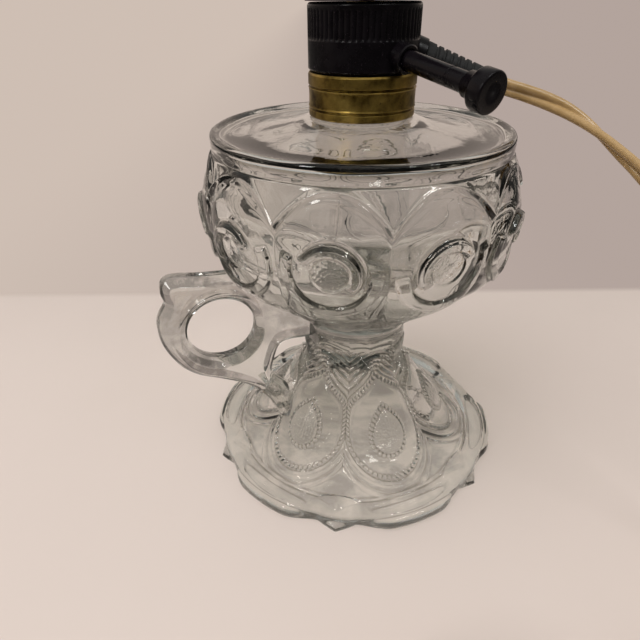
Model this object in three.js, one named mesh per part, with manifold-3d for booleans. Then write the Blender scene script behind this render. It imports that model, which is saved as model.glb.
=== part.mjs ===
// Electrified pressed-glass oil lamp with a ring handle, in millimetres, +Z up.
// The glass is a ten-panelled font on a six-drop foot. A screwed-in adapter carries the turn-knob
// switch, the mains lead and an open lamp socket. The origin is under the middle of the lamp itself,
// on the surface that it stands on, and the handle points to -X.
import * as THREE from 'three';
import { mergeVertices } from 'three/addons/utils/BufferGeometryUtils.js';
import Module from 'manifold-3d';

const wasm = await Module();
wasm.setup();

// Running clearance between pieces that touch or turn in each other, and overrun of every cut
const CLEARANCE = 0.3;
const OVERRUN = 1;
const FULL_TURN = 360;

// Pressed glass foot with its stem
const FOOT_HEIGHT = 56.2;
const FOOT_RADIUS = 61;
const DROP_COUNT = 6;
const DROP_STEPS = 10;
const DROP_EDGE_POWER = 2.6;
const NOTCH_DEPTH = 3.2;
const NOTCH_PLACE_SHARE = 0.8;
const NOTCH_WIDTH_SHARE = 0.1;
const NOTCH_HEIGHT = 5.2;
// Each row from the stem down to the rim: drop radius, drop height, seam radius, seam height
const FOOT_ROW_SHARES = [
  [0.326, 1, 0.326, 1],
  [0.326, 0.836, 0.321, 0.836],
  [0.321, 0.792, 0.305, 0.792],
  [0.328, 0.73, 0.295, 0.73],
  [0.393, 0.641, 0.336, 0.641],
  [0.456, 0.539, 0.393, 0.539],
  [0.541, 0.4, 0.467, 0.4],
  [0.626, 0.251, 0.549, 0.258],
  [0.716, 0.133, 0.656, 0.151],
  [0.808, 0.071, 0.787, 0.08],
  [0.852, 0.082, 0.852, 0.075],
  [0.934, 0.089, 0.918, 0.098],
  [0.993, 0.057, 0.967, 0.071],
  [1, 0.021, 0.992, 0.036],
  [0.987, 0, 0.984, 0],
];
// Hollow under the foot, from its crown to the inside of the rim: radius, height
const FOOT_HOLLOW_SHARES = [
  [0, 0.712],
  [0.213, 0.676],
  [0.279, 0.587],
  [0.41, 0.356],
  [0.59, 0.142],
  [0.721, 0.062],
  [0.869, 0],
];
const HOLLOW_SEGMENTS = 30;

// Pressed glass font
const FONT_HEIGHT = 74.5;
const FONT_RADIUS = 55.3;
const PANEL_COUNT = 10;
const PANEL_STEPS = 6;
const PANEL_TURN = 2.7;
const PANEL_DEPTH = 2;
const PANEL_EDGE_POWER = 2.5;
const RIDGE_HEIGHT = 0.8;
const RIDGE_WIDTH = 1.1;
const RIDGE_FOOT = 2.2;
const ARCH_DROP = 10.5;
const ARCH_POWER = 2.2;
const ARCH_TOP_SHARE = 0.91;
const PANEL_START_SHARE = 0.1;
const PANEL_FADE_SHARE = 0.2;
const PANEL_ROWS = 8;
const SPANDREL_ROWS = 1;
// Wall of the font from its bottom to the groove under the shoulder band: height, radius
const FONT_WALL_SHARES = [
  [0, 0.358],
  [0.06, 0.391],
  [0.141, 0.492],
  [0.221, 0.627],
  [0.302, 0.774],
  [0.383, 0.891],
  [0.463, 0.951],
  [0.544, 0.973],
  [0.624, 0.996],
  [0.705, 1],
  [0.785, 0.969],
  [0.866, 0.935],
  [0.922, 0.895],
];
// Shoulder band and dished top: radius as a share of the font's, height from the shoulder's edge as a
// share of the rise to the neck
const FONT_TOP_SHARES = [
  [0.9, -1.6],
  [0.9, -0.25],
  [0.879, 0],
  [0.8, -0.44],
  [0.54, -0.31],
  [0.4, 0.06],
  [0.318, 1],
];
const NECK_RISE = 3.2;
const NECK_HEIGHT = 6.8;
const NECK_RADIUS = 14;
const NECK_BORE_RADIUS = 11;
// Oil space: radius, height
const CAVITY_SHARES = [
  [0, 0.154],
  [0.271, 0.174],
  [0.542, 0.275],
  [0.723, 0.396],
  [0.832, 0.544],
  [0.868, 0.705],
  [0.841, 0.839],
  [0.796, 0.906],
  [0.687, 0.94],
  [0.452, 0.95],
  [0.271, 0.987],
];
const CAVITY_SEGMENTS = 28;
// Round eye on the middle of each panel
const EYE_HEIGHT_SHARE = 0.611;
const EYE_RADIUS = 8.6;
const EYE_BAND = 3.2;
const EYE_RISE = 1;
const EYE_SINK = 1.2;
const EYE_SEGMENTS = 10;

// Glass ring handle, an upright plate in the plane of the lamp's axis
const HANDLE_REACH = 76.7;
const HANDLE_RISE_SHARE = 0.4255;
const HANDLE_THICKNESS = 9;
const HANDLE_ROUNDING_SHARE = 0.0339;
const HANDLE_ROUNDING_STEPS = 2;
// Outline: distance from the axis as a share of the reach, height as a share of the handle's top
const HANDLE_OUTLINE_SHARES = [
  [0.522, 0.971],
  [0.782, 0.966],
  [0.86, 0.971],
  [0.906, 1],
  [0.943, 0.982],
  [0.958, 0.934],
  [0.949, 0.89],
  [0.98, 0.845],
  [1, 0.799],
  [0.995, 0.726],
  [0.967, 0.652],
  [0.917, 0.576],
  [0.845, 0.519],
  [0.756, 0.481],
  [0.658, 0.434],
  [0.58, 0.385],
  [0.525, 0.323],
  [0.482, 0.261],
  [0.437, 0.164],
  [0.339, 0.15],
  [0.34, 0.233],
  [0.383, 0.295],
  [0.402, 0.363],
  [0.493, 0.448],
  [0.463, 0.522],
  [0.433, 0.584],
  [0.385, 0.603],
  [0.209, 0.601],
  [0.209, 0.68],
  [0.391, 0.907],
];
const FINGER_HOLE_REACH_SHARE = 0.714;
const FINGER_HOLE_HEIGHT_SHARE = 0.736;
const FINGER_HOLE_HALF_WIDTH_SHARE = 0.1565;
const FINGER_HOLE_HALF_HEIGHT_SHARE = 0.1536;
const FINGER_HOLE_SEGMENTS = 16;
// The handle keeps this much more than the running clearance from the sloping glass that it meets
const SLOPE_SHARE = 1.5;

// Brass collar cemented on the neck, and the cement under it
const COLLAR_HEIGHT = 12.9;
const COLLAR_RADIUS = 17.1;
const COLLAR_LIP_RADIUS = 17.25;
const COLLAR_GROOVE_RADIUS = 16.75;
const COLLAR_BORE_RADIUS = 16;
const COLLAR_EDGE = 0.4;
const LOWER_GROOVE_HEIGHT = 2.5;
const UPPER_GROOVE_HEIGHT = 8.9;
const CEMENT_HEIGHT = 5.8;
const ROUND_SEGMENTS = 32;

// Moulded adapter: threaded base and switch housing
const BASE_THREAD_LENGTH = 5.5;
const BASE_WALL = 2.6;
const BASE_FLOOR = 1.7;
const BASE_RING_HEIGHT = 3.6;
const HOUSING_HEIGHT = 18.3;
const HOUSING_RADIUS = 17.2;
const HOUSING_WALL = 2.5;
const HOUSING_EDGE = 0.8;
const BOSS_RADIUS = 4.2;
const BOSS_LENGTH = 3;
const LEAD_BOSS_RADIUS = 4.8;
const LEAD_BOSS_LENGTH = 1.4;
const SCREW_HEIGHT = 1.8;
const SCREW_SHANK_RADIUS = 1;
const SCREW_HEAD_RADIUS = 1.7;
const SCREW_HEAD_LENGTH = 1.1;
const SCREW_TURNS = { left: -150, right: 115 };
const SCREW_SEGMENTS = 12;

// Turn-knob switch: its axis droops outwards and crosses the axis of the lamp
const KNOB_TURN = 15;
const KNOB_DROOP = 10;
const SPINDLE_RISE = 4.5;
const KNOB_REACH = 50.5;
const KNOB_RADIUS = 5.5;
const KNOB_LENGTH = 5.3;
const KNOB_CHAMFER = 1;
const KNOB_FACE_EDGE = 0.35;
const KNOB_HUB_RADIUS = 3.5;
const KNOB_HUB_LENGTH = 3.1;
const KNOB_BORE_DEPTH = 5.4;
const BUSHING_RADIUS = 2.8;
const SPINDLE_RADIUS = 1.45;
const ROTOR_INNER_END = 3.5;
const ROTOR_LENGTH = 7;
const ROTOR_RADIUS = 4.2;
const ROTOR_BORE_DEPTH = 4.5;
const KNOB_SEGMENTS = 24;
const SPINDLE_SEGMENTS = 12;

// Switch contacts, terminals and internal wires
const CONTACT_THICKNESS = 0.6;
const CONTACT_WIDTH = 5;
const CONTACT_DROP = 14.5;
const TERMINAL_DROP = 5.2;
const TERMINAL_HEAD_RADIUS = 2.3;
const TERMINAL_HEAD_LENGTH = 1.7;
const TERMINAL_SHANK_RADIUS = 1;
const TERMINAL_SHANK_LENGTH = 1.9;
const STRAP_TURN = 150;
const STRAP_REACH = 8.2;
const STRAP_THICKNESS = 0.8;
const STRAP_WIDTH = 4.5;
const STRAP_DROP = 9;
const WIRE_RADIUS = 0.9;
const WIRE_SPREAD = 1.35;
const WIRE_SIDES = 6;
const WIRE_STEPS = 10;
const WIRE_WAY_SHARES = [0.35, 0.7];

// Lamp socket
const INSULATOR_THICKNESS = 3;
const INSULATOR_RADIUS = 17.9;
const COVER_HEIGHT = 35.4;
const COVER_RADIUS = 17.5;
const COVER_WALL = 2.1;
const COVER_FLANGE_HEIGHT = 2.2;
const COVER_LIP = 1;
const SHELL_HEIGHT = 29;
const SHELL_RADIUS = 13.9;
const SHELL_WALL = 0.8;
const SHELL_FLOOR_BORE = 6.5;
const SHELL_LIP = 0.5;
const CONTACT_STEM_RADIUS = 1.2;
const TONGUE_HALF_LENGTH = 3.4;
const TONGUE_RISE = 5;
const TONGUE_THICKNESS = 0.7;
const TONGUE_WIDTH = 5;

// Mains lead with its strain relief
const CORD_DIAMETER = 5.2;
const CORD_TURN = 68.5;
const CORD_DROOP = 19.6;
const CORD_RISE = 4.44;
const RELIEF_LENGTH = 23.9;
const RELIEF_ROOT_RADIUS = 4.2;
const RELIEF_TIP_RADIUS = 3.2;
const RELIEF_NECK_RADIUS = 3.4;
const CORD_SIDES = 8;
const CORD_STEPS = 58;
// Route of the free lead after its strain relief, from the axis of the lamp
const CORD_ROUTE = [
  [42.9, -17.5, 142.1],
  [48.2, -20.7, 140.4],
  [53.2, -24.4, 138.5],
  [57.8, -28.8, 136.1],
  [61.7, -33.5, 133.1],
  [65.2, -38.8, 129.3],
  [68.1, -44.5, 125.2],
  [70.8, -51, 120.7],
  [73.1, -57.6, 115.2],
  [75, -64.2, 108],
  [76.8, -70.6, 99.2],
  [78.4, -76.8, 88.6],
  [79.8, -82.8, 76.2],
  [81, -88.6, 62.3],
  [82, -94.2, 47.8],
  [82.7, -99.8, 33.8],
  [83, -105.8, 21],
  [82.9, -113, 11.2],
  [82.3, -121.5, 5.4],
  [81, -130.5, 3.1],
  [78.5, -139.5, 2.6],
  [74.5, -147.8, 2.6],
  [69, -155, 2.6],
  [62, -160.4, 2.6],
  [53.5, -164.2, 2.6],
  [44, -166.8, 2.6],
  [33, -168.6, 2.6],
  [21, -169.9, 2.6],
  [8, -170.9, 2.6],
  [-6, -171.8, 2.7],
  [-20, -172.9, 3],
];
const COIL_CENTRE = [-40.6, -141.4];
const COIL_INNER_RADIUS = 20.8;
const COIL_PITCH = 5.75;
const COIL_LIFT = 0.9;
const COIL_LAYERS = 4;
const COIL_TURNS = 8.625;
const COIL_START_TURN = -85;
const COIL_CLIMB_SHARE = 0.25;
const COIL_SIDES = 6;
const COIL_STEPS = 24;
// Route of the short tail from the coil to the plug, from the end of the coil
const TAIL_ROUTE = [
  [6.1, -4.9, -0.8],
  [11.6, -9.2, -3.2],
  [17.2, -12.8, -6.9],
  [23, -15.8, -10.4],
  [28.6, -18, -12.9],
  [33.8, -19.4, -14],
  [38.3, -20, -14.25],
];
const TAIL_STEPS = 10;
const TIE_WIDTH = 7;
const TIE_THICKNESS = 0.5;
const TIE_TURN = 200;

// Two-blade plug
const PLUG_LENGTH = 26;
const PLUG_WIDTH = 24;
const PLUG_HEIGHT = 13;
const PLUG_NOSE_WIDTH = 9;
const PLUG_NOSE_LENGTH = 9;
const PLUG_ROUNDING = 2.4;
const BLADE_SPACING = 12.7;
const BLADE_THICKNESS = 1.5;
const BLADE_WIDTH = 6.3;
const BLADE_LENGTH = 16;
const BLADE_ROOT = 6;

// Places on the axis that follow from the sizes above
const FONT_Z = FOOT_HEIGHT + CLEARANCE;
const SHOULDER_Z = FONT_Z + FONT_HEIGHT;
const NECK_Z = SHOULDER_Z + NECK_RISE;
const COLLAR_Z = NECK_Z + CLEARANCE;
const COLLAR_TOP_Z = COLLAR_Z + COLLAR_HEIGHT;
const HOUSING_Z = COLLAR_TOP_Z + CLEARANCE;
const HOUSING_TOP_Z = HOUSING_Z + HOUSING_HEIGHT;
const HOUSING_BORE_RADIUS = HOUSING_RADIUS - HOUSING_WALL;
const INSULATOR_Z = HOUSING_TOP_Z + CLEARANCE;
const SOCKET_Z = INSULATOR_Z + INSULATOR_THICKNESS + CLEARANCE;
const HANDLE_TOP_Z = FOOT_HEIGHT + HANDLE_RISE_SHARE * FONT_HEIGHT;

// Finishes
const GLASS = new THREE.MeshStandardMaterial({ color: 0xdfe3e6, roughness: 0.05, metalness: 0 });
const BRASS = new THREE.MeshStandardMaterial({ color: 0x7a6a3c, roughness: 0.45, metalness: 0.9 });
const BRIGHT_BRASS = new THREE.MeshStandardMaterial({ color: 0xb9974a, roughness: 0.3, metalness: 1 });
const CEMENT = new THREE.MeshStandardMaterial({ color: 0xc9c1ae, roughness: 0.9, metalness: 0 });
const PHENOLIC = new THREE.MeshStandardMaterial({ color: 0x17161a, roughness: 0.35, metalness: 0 });
const RUBBER = new THREE.MeshStandardMaterial({ color: 0x1c1b1a, roughness: 0.7, metalness: 0 });
const STEEL = new THREE.MeshStandardMaterial({ color: 0x9a9a98, roughness: 0.35, metalness: 1 });
const CORD_VINYL = new THREE.MeshStandardMaterial({ color: 0xb98f57, roughness: 0.4, metalness: 0 });
const PLUG_VINYL = new THREE.MeshStandardMaterial({ color: 0x6b4a26, roughness: 0.45, metalness: 0 });
const TIE_WRAP = new THREE.MeshStandardMaterial({ color: 0x222222, roughness: 0.6, metalness: 0 });

// Point at a turn about the axis, in degrees from -Y towards +X
function place(radius, turn, height) {
  const angle = THREE.MathUtils.degToRad(turn);
  return new THREE.Vector3(radius * Math.sin(angle), -radius * Math.cos(angle), height);
}

// Direction outwards at a turn, sloping down by droop
function outward(turn, droop) {
  const angle = THREE.MathUtils.degToRad(droop);
  const level = place(Math.cos(angle), turn, 0);
  return level.setZ(-Math.sin(angle));
}

// Value at a share in a table of [share, value], straight between its rows
function between(table, share) {
  let row = 1;
  while (row < table.length - 1 && table[row][0] < share) {
    row += 1;
  }
  const [start, low] = table[row - 1];
  const [end, high] = table[row];
  return THREE.MathUtils.lerp(low, high, THREE.MathUtils.clamp((share - start) / (end - start), 0, 1));
}

// One closed body with shared vertices, no empty faces, and its faces pointing out
function closedBody(geometry) {
  const bare = geometry.clone();
  bare.deleteAttribute('normal');
  bare.deleteAttribute('uv');
  const merged = mergeVertices(bare);
  const old = merged.index.array;
  const points = merged.attributes.position;
  const faces = [];
  const corners = [new THREE.Vector3(), new THREE.Vector3(), new THREE.Vector3()];
  let volume = 0;
  for (let face = 0; face < old.length; face += 3) {
    const [a, b, c] = old.slice(face, face + 3);
    if (a !== b && b !== c && c !== a) {
      faces.push([a, b, c]);
      corners.forEach((corner, side) => corner.fromBufferAttribute(points, [a, b, c][side]));
      volume += corners[0].dot(corners[1].cross(corners[2]));
    }
  }
  const outwardFaces = volume > 0 ? faces : faces.map(([a, b, c]) => [a, c, b]);
  merged.setIndex(outwardFaces.flat());
  merged.computeVertexNormals();
  return merged;
}

function toSolid(geometry) {
  const body = closedBody(geometry);
  const vertProperties = new Float32Array(body.attributes.position.array);
  const triVerts = new Uint32Array(body.index.array);
  return new wasm.Manifold(new wasm.Mesh({ numProp: 3, vertProperties, triVerts }));
}

function toGeometry(solid) {
  const { vertProperties, triVerts } = solid.getMesh();
  const geometry = new THREE.BufferGeometry();
  geometry.setAttribute('position', new THREE.Float32BufferAttribute(vertProperties, 3));
  geometry.setIndex([...triVerts]);
  geometry.computeVertexNormals();
  return geometry;
}

// Body with the given rings of points as its rows, capped at both ends or closed on itself
function ringBody(rings, closed = false) {
  const count = rings[0].length;
  const points = rings.flat();
  const faces = [];
  const bands = closed ? rings.length : rings.length - 1;
  for (let row = 0; row < bands; row += 1) {
    const next = (row + 1) % rings.length;
    for (let step = 0; step < count; step += 1) {
      const after = (step + 1) % count;
      faces.push(row * count + step, row * count + after, next * count + after);
      faces.push(row * count + step, next * count + after, next * count + step);
    }
  }
  if (!closed) {
    const whole = (ring) => ring.reduce((sum, point) => sum.add(point), new THREE.Vector3());
    const middle = (ring) => whole(ring).divideScalar(count);
    const last = (rings.length - 1) * count;
    points.push(middle(rings[0]), middle(rings[rings.length - 1]));
    for (let step = 0; step < count; step += 1) {
      const after = (step + 1) % count;
      faces.push(points.length - 2, after, step);
      faces.push(points.length - 1, last + step, last + after);
    }
  }
  const geometry = new THREE.BufferGeometry().setFromPoints(points);
  geometry.setIndex(faces);
  return closedBody(geometry);
}

// Solid of revolution about Z from [radius, height] pairs
function turned(profile, segments = ROUND_SEGMENTS) {
  const points = profile.map(([radius, height]) => new THREE.Vector2(radius, height));
  return closedBody(new THREE.LatheGeometry(points, segments).rotateX(Math.PI / 2));
}

// A ring or tube about Z, whose profile closes on itself
function turnedRing(profile, segments = ROUND_SEGMENTS) {
  return turned([...profile, profile[0]], segments);
}

function rod(radius, from, to, segments = SPINDLE_SEGMENTS) {
  return turned([[0, from], [radius, from], [radius, to], [0, to]], segments);
}

// Box between two corners
function block(low, high) {
  const size = high.map((value, side) => value - low[side]);
  const middle = high.map((value, side) => (value + low[side]) / 2);
  return closedBody(new THREE.BoxGeometry(...size).translate(...middle));
}

// Turns a geometry made along +Z to a direction, and sets its zero at a point
function aim(geometry, direction, origin) {
  const turn = new THREE.Quaternion().setFromUnitVectors(new THREE.Vector3(0, 0, 1), direction);
  return geometry.clone().applyQuaternion(turn).translate(origin.x, origin.y, origin.z);
}

function cut(geometry, ...tools) {
  const whole = tools.reduce((solid, tool) => solid.subtract(toSolid(tool)), toSolid(geometry));
  return toGeometry(whole);
}

function join(...geometries) {
  const solids = geometries.map(toSolid);
  return toGeometry(solids.reduce((whole, solid) => whole.add(solid)));
}

// Round tube along points
function tube(points, radius, sides, steps) {
  const section = new THREE.Shape();
  for (let side = 0; side < sides; side += 1) {
    const angle = (side / sides) * 2 * Math.PI;
    const corner = [radius * Math.cos(angle), radius * Math.sin(angle)];
    if (side === 0) {
      section.moveTo(...corner);
    } else {
      section.lineTo(...corner);
    }
  }
  section.closePath();
  const extrudePath = new THREE.CatmullRomCurve3(points);
  return closedBody(new THREE.ExtrudeGeometry(section, { steps, extrudePath, bevelEnabled: false }));
}

// Foot: six drops with seams between them; across is 0 on a drop's middle and 1 on a seam
function footRing([dropRadius, dropHeight, seamRadius, seamHeight], grow) {
  const ring = [];
  const steps = DROP_COUNT * DROP_STEPS;
  for (let step = 0; step < steps; step += 1) {
    const share = step / DROP_STEPS;
    const across = Math.abs(share - Math.round(share)) * 2;
    const edge = across ** DROP_EDGE_POWER;
    const height = FOOT_HEIGHT * THREE.MathUtils.lerp(dropHeight, seamHeight, edge);
    const low = THREE.MathUtils.clamp(1 - height / NOTCH_HEIGHT, 0, 1);
    const notch = NOTCH_DEPTH * low * Math.exp(-(((across - NOTCH_PLACE_SHARE) / NOTCH_WIDTH_SHARE) ** 2));
    const radius = FOOT_RADIUS * THREE.MathUtils.lerp(dropRadius, seamRadius, edge) - notch;
    ring.push(place(radius + grow, (step / steps) * FULL_TURN, height));
  }
  return ring;
}

function footBlank(grow = 0) {
  return ringBody(FOOT_ROW_SHARES.map((row) => footRing(row, grow)));
}

function footGeometry() {
  const profile = FOOT_HOLLOW_SHARES.map(([radius, height]) => [
    radius * FOOT_RADIUS,
    height * FOOT_HEIGHT,
  ]);
  const mouth = profile[profile.length - 1][0];
  const hollow = turned([...profile, [mouth, -OVERRUN], [0, -OVERRUN]], HOLLOW_SEGMENTS);
  return cut(footBlank(), hollow);
}

// Font: ten arched panels; across is 0 on a panel's middle and 1 on its edge
function panelAcross(turn) {
  const share = ((turn - PANEL_TURN) / FULL_TURN) * PANEL_COUNT;
  return Math.abs(share - Math.round(share)) * 2;
}

function archHeight(turn) {
  return FONT_Z + ARCH_TOP_SHARE * FONT_HEIGHT - ARCH_DROP * panelAcross(turn) ** ARCH_POWER;
}

function fontRadius(turn, height) {
  const share = (height - FONT_Z) / FONT_HEIGHT;
  const below = archHeight(turn) - height;
  const start = THREE.MathUtils.smoothstep(share, PANEL_START_SHARE, PANEL_START_SHARE + PANEL_FADE_SHARE);
  const end = THREE.MathUtils.clamp(below / RIDGE_FOOT, 0, 1);
  const sink = PANEL_DEPTH * panelAcross(turn) ** PANEL_EDGE_POWER * start * end;
  const ridge = RIDGE_HEIGHT * Math.exp(-((below / RIDGE_WIDTH) ** 2));
  return FONT_RADIUS * between(FONT_WALL_SHARES, share) - sink + ridge;
}

function fontBlank(grow = 0) {
  const steps = PANEL_COUNT * PANEL_STEPS;
  const grooveShare = FONT_WALL_SHARES[FONT_WALL_SHARES.length - 1][0];
  const groove = FONT_Z + grooveShare * FONT_HEIGHT;
  const start = FONT_Z + PANEL_START_SHARE * FONT_HEIGHT;
  const heights = (turn) => {
    const foot = archHeight(turn) - RIDGE_FOOT;
    const column = [FONT_Z, (FONT_Z + start) / 2];
    for (let row = 0; row <= PANEL_ROWS; row += 1) {
      column.push(THREE.MathUtils.lerp(start, foot, row / PANEL_ROWS));
    }
    for (let row = 0; row <= SPANDREL_ROWS; row += 1) {
      column.push(THREE.MathUtils.lerp(archHeight(turn), groove, row / SPANDREL_ROWS));
    }
    return column;
  };
  const columns = [];
  for (let step = 0; step < steps; step += 1) {
    const turn = PANEL_TURN + (step / steps) * FULL_TURN;
    const column = heights(turn).map((height) => place(fontRadius(turn, height) + grow, turn, height));
    FONT_TOP_SHARES.forEach(([radius, height]) => {
      column.push(place(FONT_RADIUS * radius + grow, turn, SHOULDER_Z + NECK_RISE * height));
    });
    column.push(place(NECK_RADIUS, turn, NECK_Z), place(NECK_RADIUS, turn, NECK_Z + NECK_HEIGHT));
    columns.push(column);
  }
  return ringBody(columns[0].map((_, row) => columns.map((column) => column[row])));
}

// Raised ring of one eye, laid on the curved wall
function eyeRing(turn) {
  const middle = FONT_Z + EYE_HEIGHT_SHARE * FONT_HEIGHT;
  const outer = EYE_RADIUS;
  const inner = EYE_RADIUS - EYE_BAND;
  const section = [
    [outer, -EYE_SINK],
    [outer - EYE_RISE / 2, EYE_RISE],
    [inner + EYE_RISE / 2, EYE_RISE],
    [inner, -EYE_SINK],
  ];
  const rings = section.map(([reach, rise]) => {
    const ring = [];
    for (let step = 0; step < EYE_SEGMENTS; step += 1) {
      const angle = (step / EYE_SEGMENTS) * 2 * Math.PI;
      const height = middle + reach * Math.sin(angle);
      const side = THREE.MathUtils.radToDeg((reach * Math.cos(angle)) / FONT_RADIUS);
      ring.push(place(fontRadius(turn + side, height) + rise, turn + side, height));
    }
    return ring;
  });
  return ringBody(rings, true);
}

function fontGeometry() {
  const eyes = [];
  for (let panel = 0; panel < PANEL_COUNT; panel += 1) {
    eyes.push(eyeRing(PANEL_TURN + (panel / PANEL_COUNT) * FULL_TURN));
  }
  const profile = CAVITY_SHARES.map(([radius, height]) => [
    radius * FONT_RADIUS,
    FONT_Z + height * FONT_HEIGHT,
  ]);
  const top = NECK_Z + NECK_HEIGHT + OVERRUN;
  const neck = [[NECK_BORE_RADIUS, NECK_Z], [NECK_BORE_RADIUS, top], [0, top]];
  const cavity = turned([...profile, ...neck], CAVITY_SEGMENTS);
  return cut(join(fontBlank(), ...eyes), cavity);
}

// Handle: extruded outline with a finger hole, cut clear of the font, the foot and the joint of the two
function handleGeometry() {
  const corner = ([reach, height]) => new THREE.Vector2(-reach * HANDLE_REACH, height * HANDLE_TOP_Z);
  const outline = new THREE.Shape(HANDLE_OUTLINE_SHARES.map(corner));
  const hole = new THREE.Path();
  const middle = corner([FINGER_HOLE_REACH_SHARE, FINGER_HOLE_HEIGHT_SHARE]);
  const halfWidth = FINGER_HOLE_HALF_WIDTH_SHARE * HANDLE_REACH;
  const halfHeight = FINGER_HOLE_HALF_HEIGHT_SHARE * HANDLE_TOP_Z;
  const rounding = HANDLE_ROUNDING_SHARE * HANDLE_REACH;
  hole.absellipse(middle.x, middle.y, halfWidth, halfHeight, 0, 2 * Math.PI);
  outline.holes.push(new THREE.Path(hole.getPoints(FINGER_HOLE_SEGMENTS).slice(1)));
  const plate = new THREE.ExtrudeGeometry(outline, {
    depth: HANDLE_THICKNESS - 2 * rounding,
    bevelThickness: rounding,
    bevelSize: rounding,
    bevelOffset: -rounding,
    bevelSegments: HANDLE_ROUNDING_STEPS,
  });
  plate.translate(0, 0, rounding - HANDLE_THICKNESS / 2).rotateX(Math.PI / 2);
  const grow = CLEARANCE * SLOPE_SHARE;
  const stem = FOOT_ROW_SHARES[0][0] * FOOT_RADIUS + grow;
  const joint = rod(stem, FOOT_HEIGHT - CLEARANCE, FONT_Z + CLEARANCE, ROUND_SEGMENTS);
  return cut(plate, fontBlank(grow), footBlank(grow), joint);
}

function collarGeometry() {
  const groove = (height, radius) => [
    [COLLAR_RADIUS, height - COLLAR_EDGE],
    [COLLAR_GROOVE_RADIUS, height],
    [radius, height + COLLAR_EDGE],
  ];
  return turnedRing([
    [COLLAR_BORE_RADIUS, 0],
    [COLLAR_RADIUS - COLLAR_EDGE, 0],
    [COLLAR_RADIUS, COLLAR_EDGE],
    ...groove(LOWER_GROOVE_HEIGHT, COLLAR_RADIUS),
    ...groove(UPPER_GROOVE_HEIGHT, COLLAR_LIP_RADIUS),
    [COLLAR_LIP_RADIUS, COLLAR_HEIGHT - COLLAR_EDGE],
    [COLLAR_LIP_RADIUS - COLLAR_EDGE, COLLAR_HEIGHT],
    [COLLAR_BORE_RADIUS, COLLAR_HEIGHT],
  ]);
}

function cementGeometry() {
  const inner = NECK_RADIUS + CLEARANCE;
  const outer = COLLAR_BORE_RADIUS - CLEARANCE;
  return turnedRing([[inner, 0], [outer, 0], [outer, CEMENT_HEIGHT], [inner, CEMENT_HEIGHT]]);
}

// Axes of the switch and of the lead, both through the axis of the lamp
const knobDirection = outward(KNOB_TURN, KNOB_DROOP);
const knobDroopAngle = THREE.MathUtils.degToRad(KNOB_DROOP);
const knobAxisRise = SPINDLE_RISE + HOUSING_RADIUS * Math.tan(knobDroopAngle);
const knobCrossing = new THREE.Vector3(0, 0, HOUSING_Z + knobAxisRise);
const cordDirection = outward(CORD_TURN, CORD_DROOP);
const cordDroopAngle = THREE.MathUtils.degToRad(CORD_DROOP);
const cordAxisRise = CORD_RISE + HOUSING_RADIUS * Math.tan(cordDroopAngle);
const cordCrossing = new THREE.Vector3(0, 0, HOUSING_Z + cordAxisRise);
// Distances along those axes to the inside and outside of the housing
const knobWallIn = HOUSING_BORE_RADIUS / Math.cos(knobDroopAngle);
const knobWallOut = HOUSING_RADIUS / Math.cos(knobDroopAngle);
const cordWallIn = HOUSING_BORE_RADIUS / Math.cos(cordDroopAngle);
const cordWallOut = HOUSING_RADIUS / Math.cos(cordDroopAngle);
const knobFace = KNOB_REACH / Math.cos(knobDroopAngle);
const knobHubEnd = knobFace - KNOB_LENGTH - KNOB_HUB_LENGTH;
const reliefTip = cordWallOut + RELIEF_LENGTH;

function alongKnob(radius, from, to) {
  return aim(rod(radius, from, to), knobDirection, knobCrossing);
}

function alongCord(radius, from, to) {
  return aim(rod(radius, from, to), cordDirection, cordCrossing);
}

// Adapter base: threaded cup in the collar, with a ring that stands in the housing
function baseGeometry() {
  const thread = COLLAR_BORE_RADIUS - CLEARANCE;
  const ring = HOUSING_BORE_RADIUS - CLEARANCE;
  const bore = thread - BASE_WALL;
  const bottom = COLLAR_TOP_Z - BASE_THREAD_LENGTH;
  const top = HOUSING_Z + BASE_RING_HEIGHT;
  const cup = turned([
    [0, bottom],
    [thread, bottom],
    [thread, COLLAR_TOP_Z],
    [ring, COLLAR_TOP_Z],
    [ring, top],
    [bore, top],
    [bore, bottom + BASE_FLOOR],
    [0, bottom + BASE_FLOOR],
  ]);
  const spindleWay = alongKnob(BUSHING_RADIUS + CLEARANCE, 0, knobWallOut);
  const leadWay = alongCord(RELIEF_ROOT_RADIUS + CLEARANCE, 0, cordWallOut);
  return cut(cup, spindleWay, leadWay);
}

function screwDirection(turn) {
  return outward(turn, 0);
}

function screwPlace() {
  return new THREE.Vector3(0, 0, HOUSING_Z + SCREW_HEIGHT);
}

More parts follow.
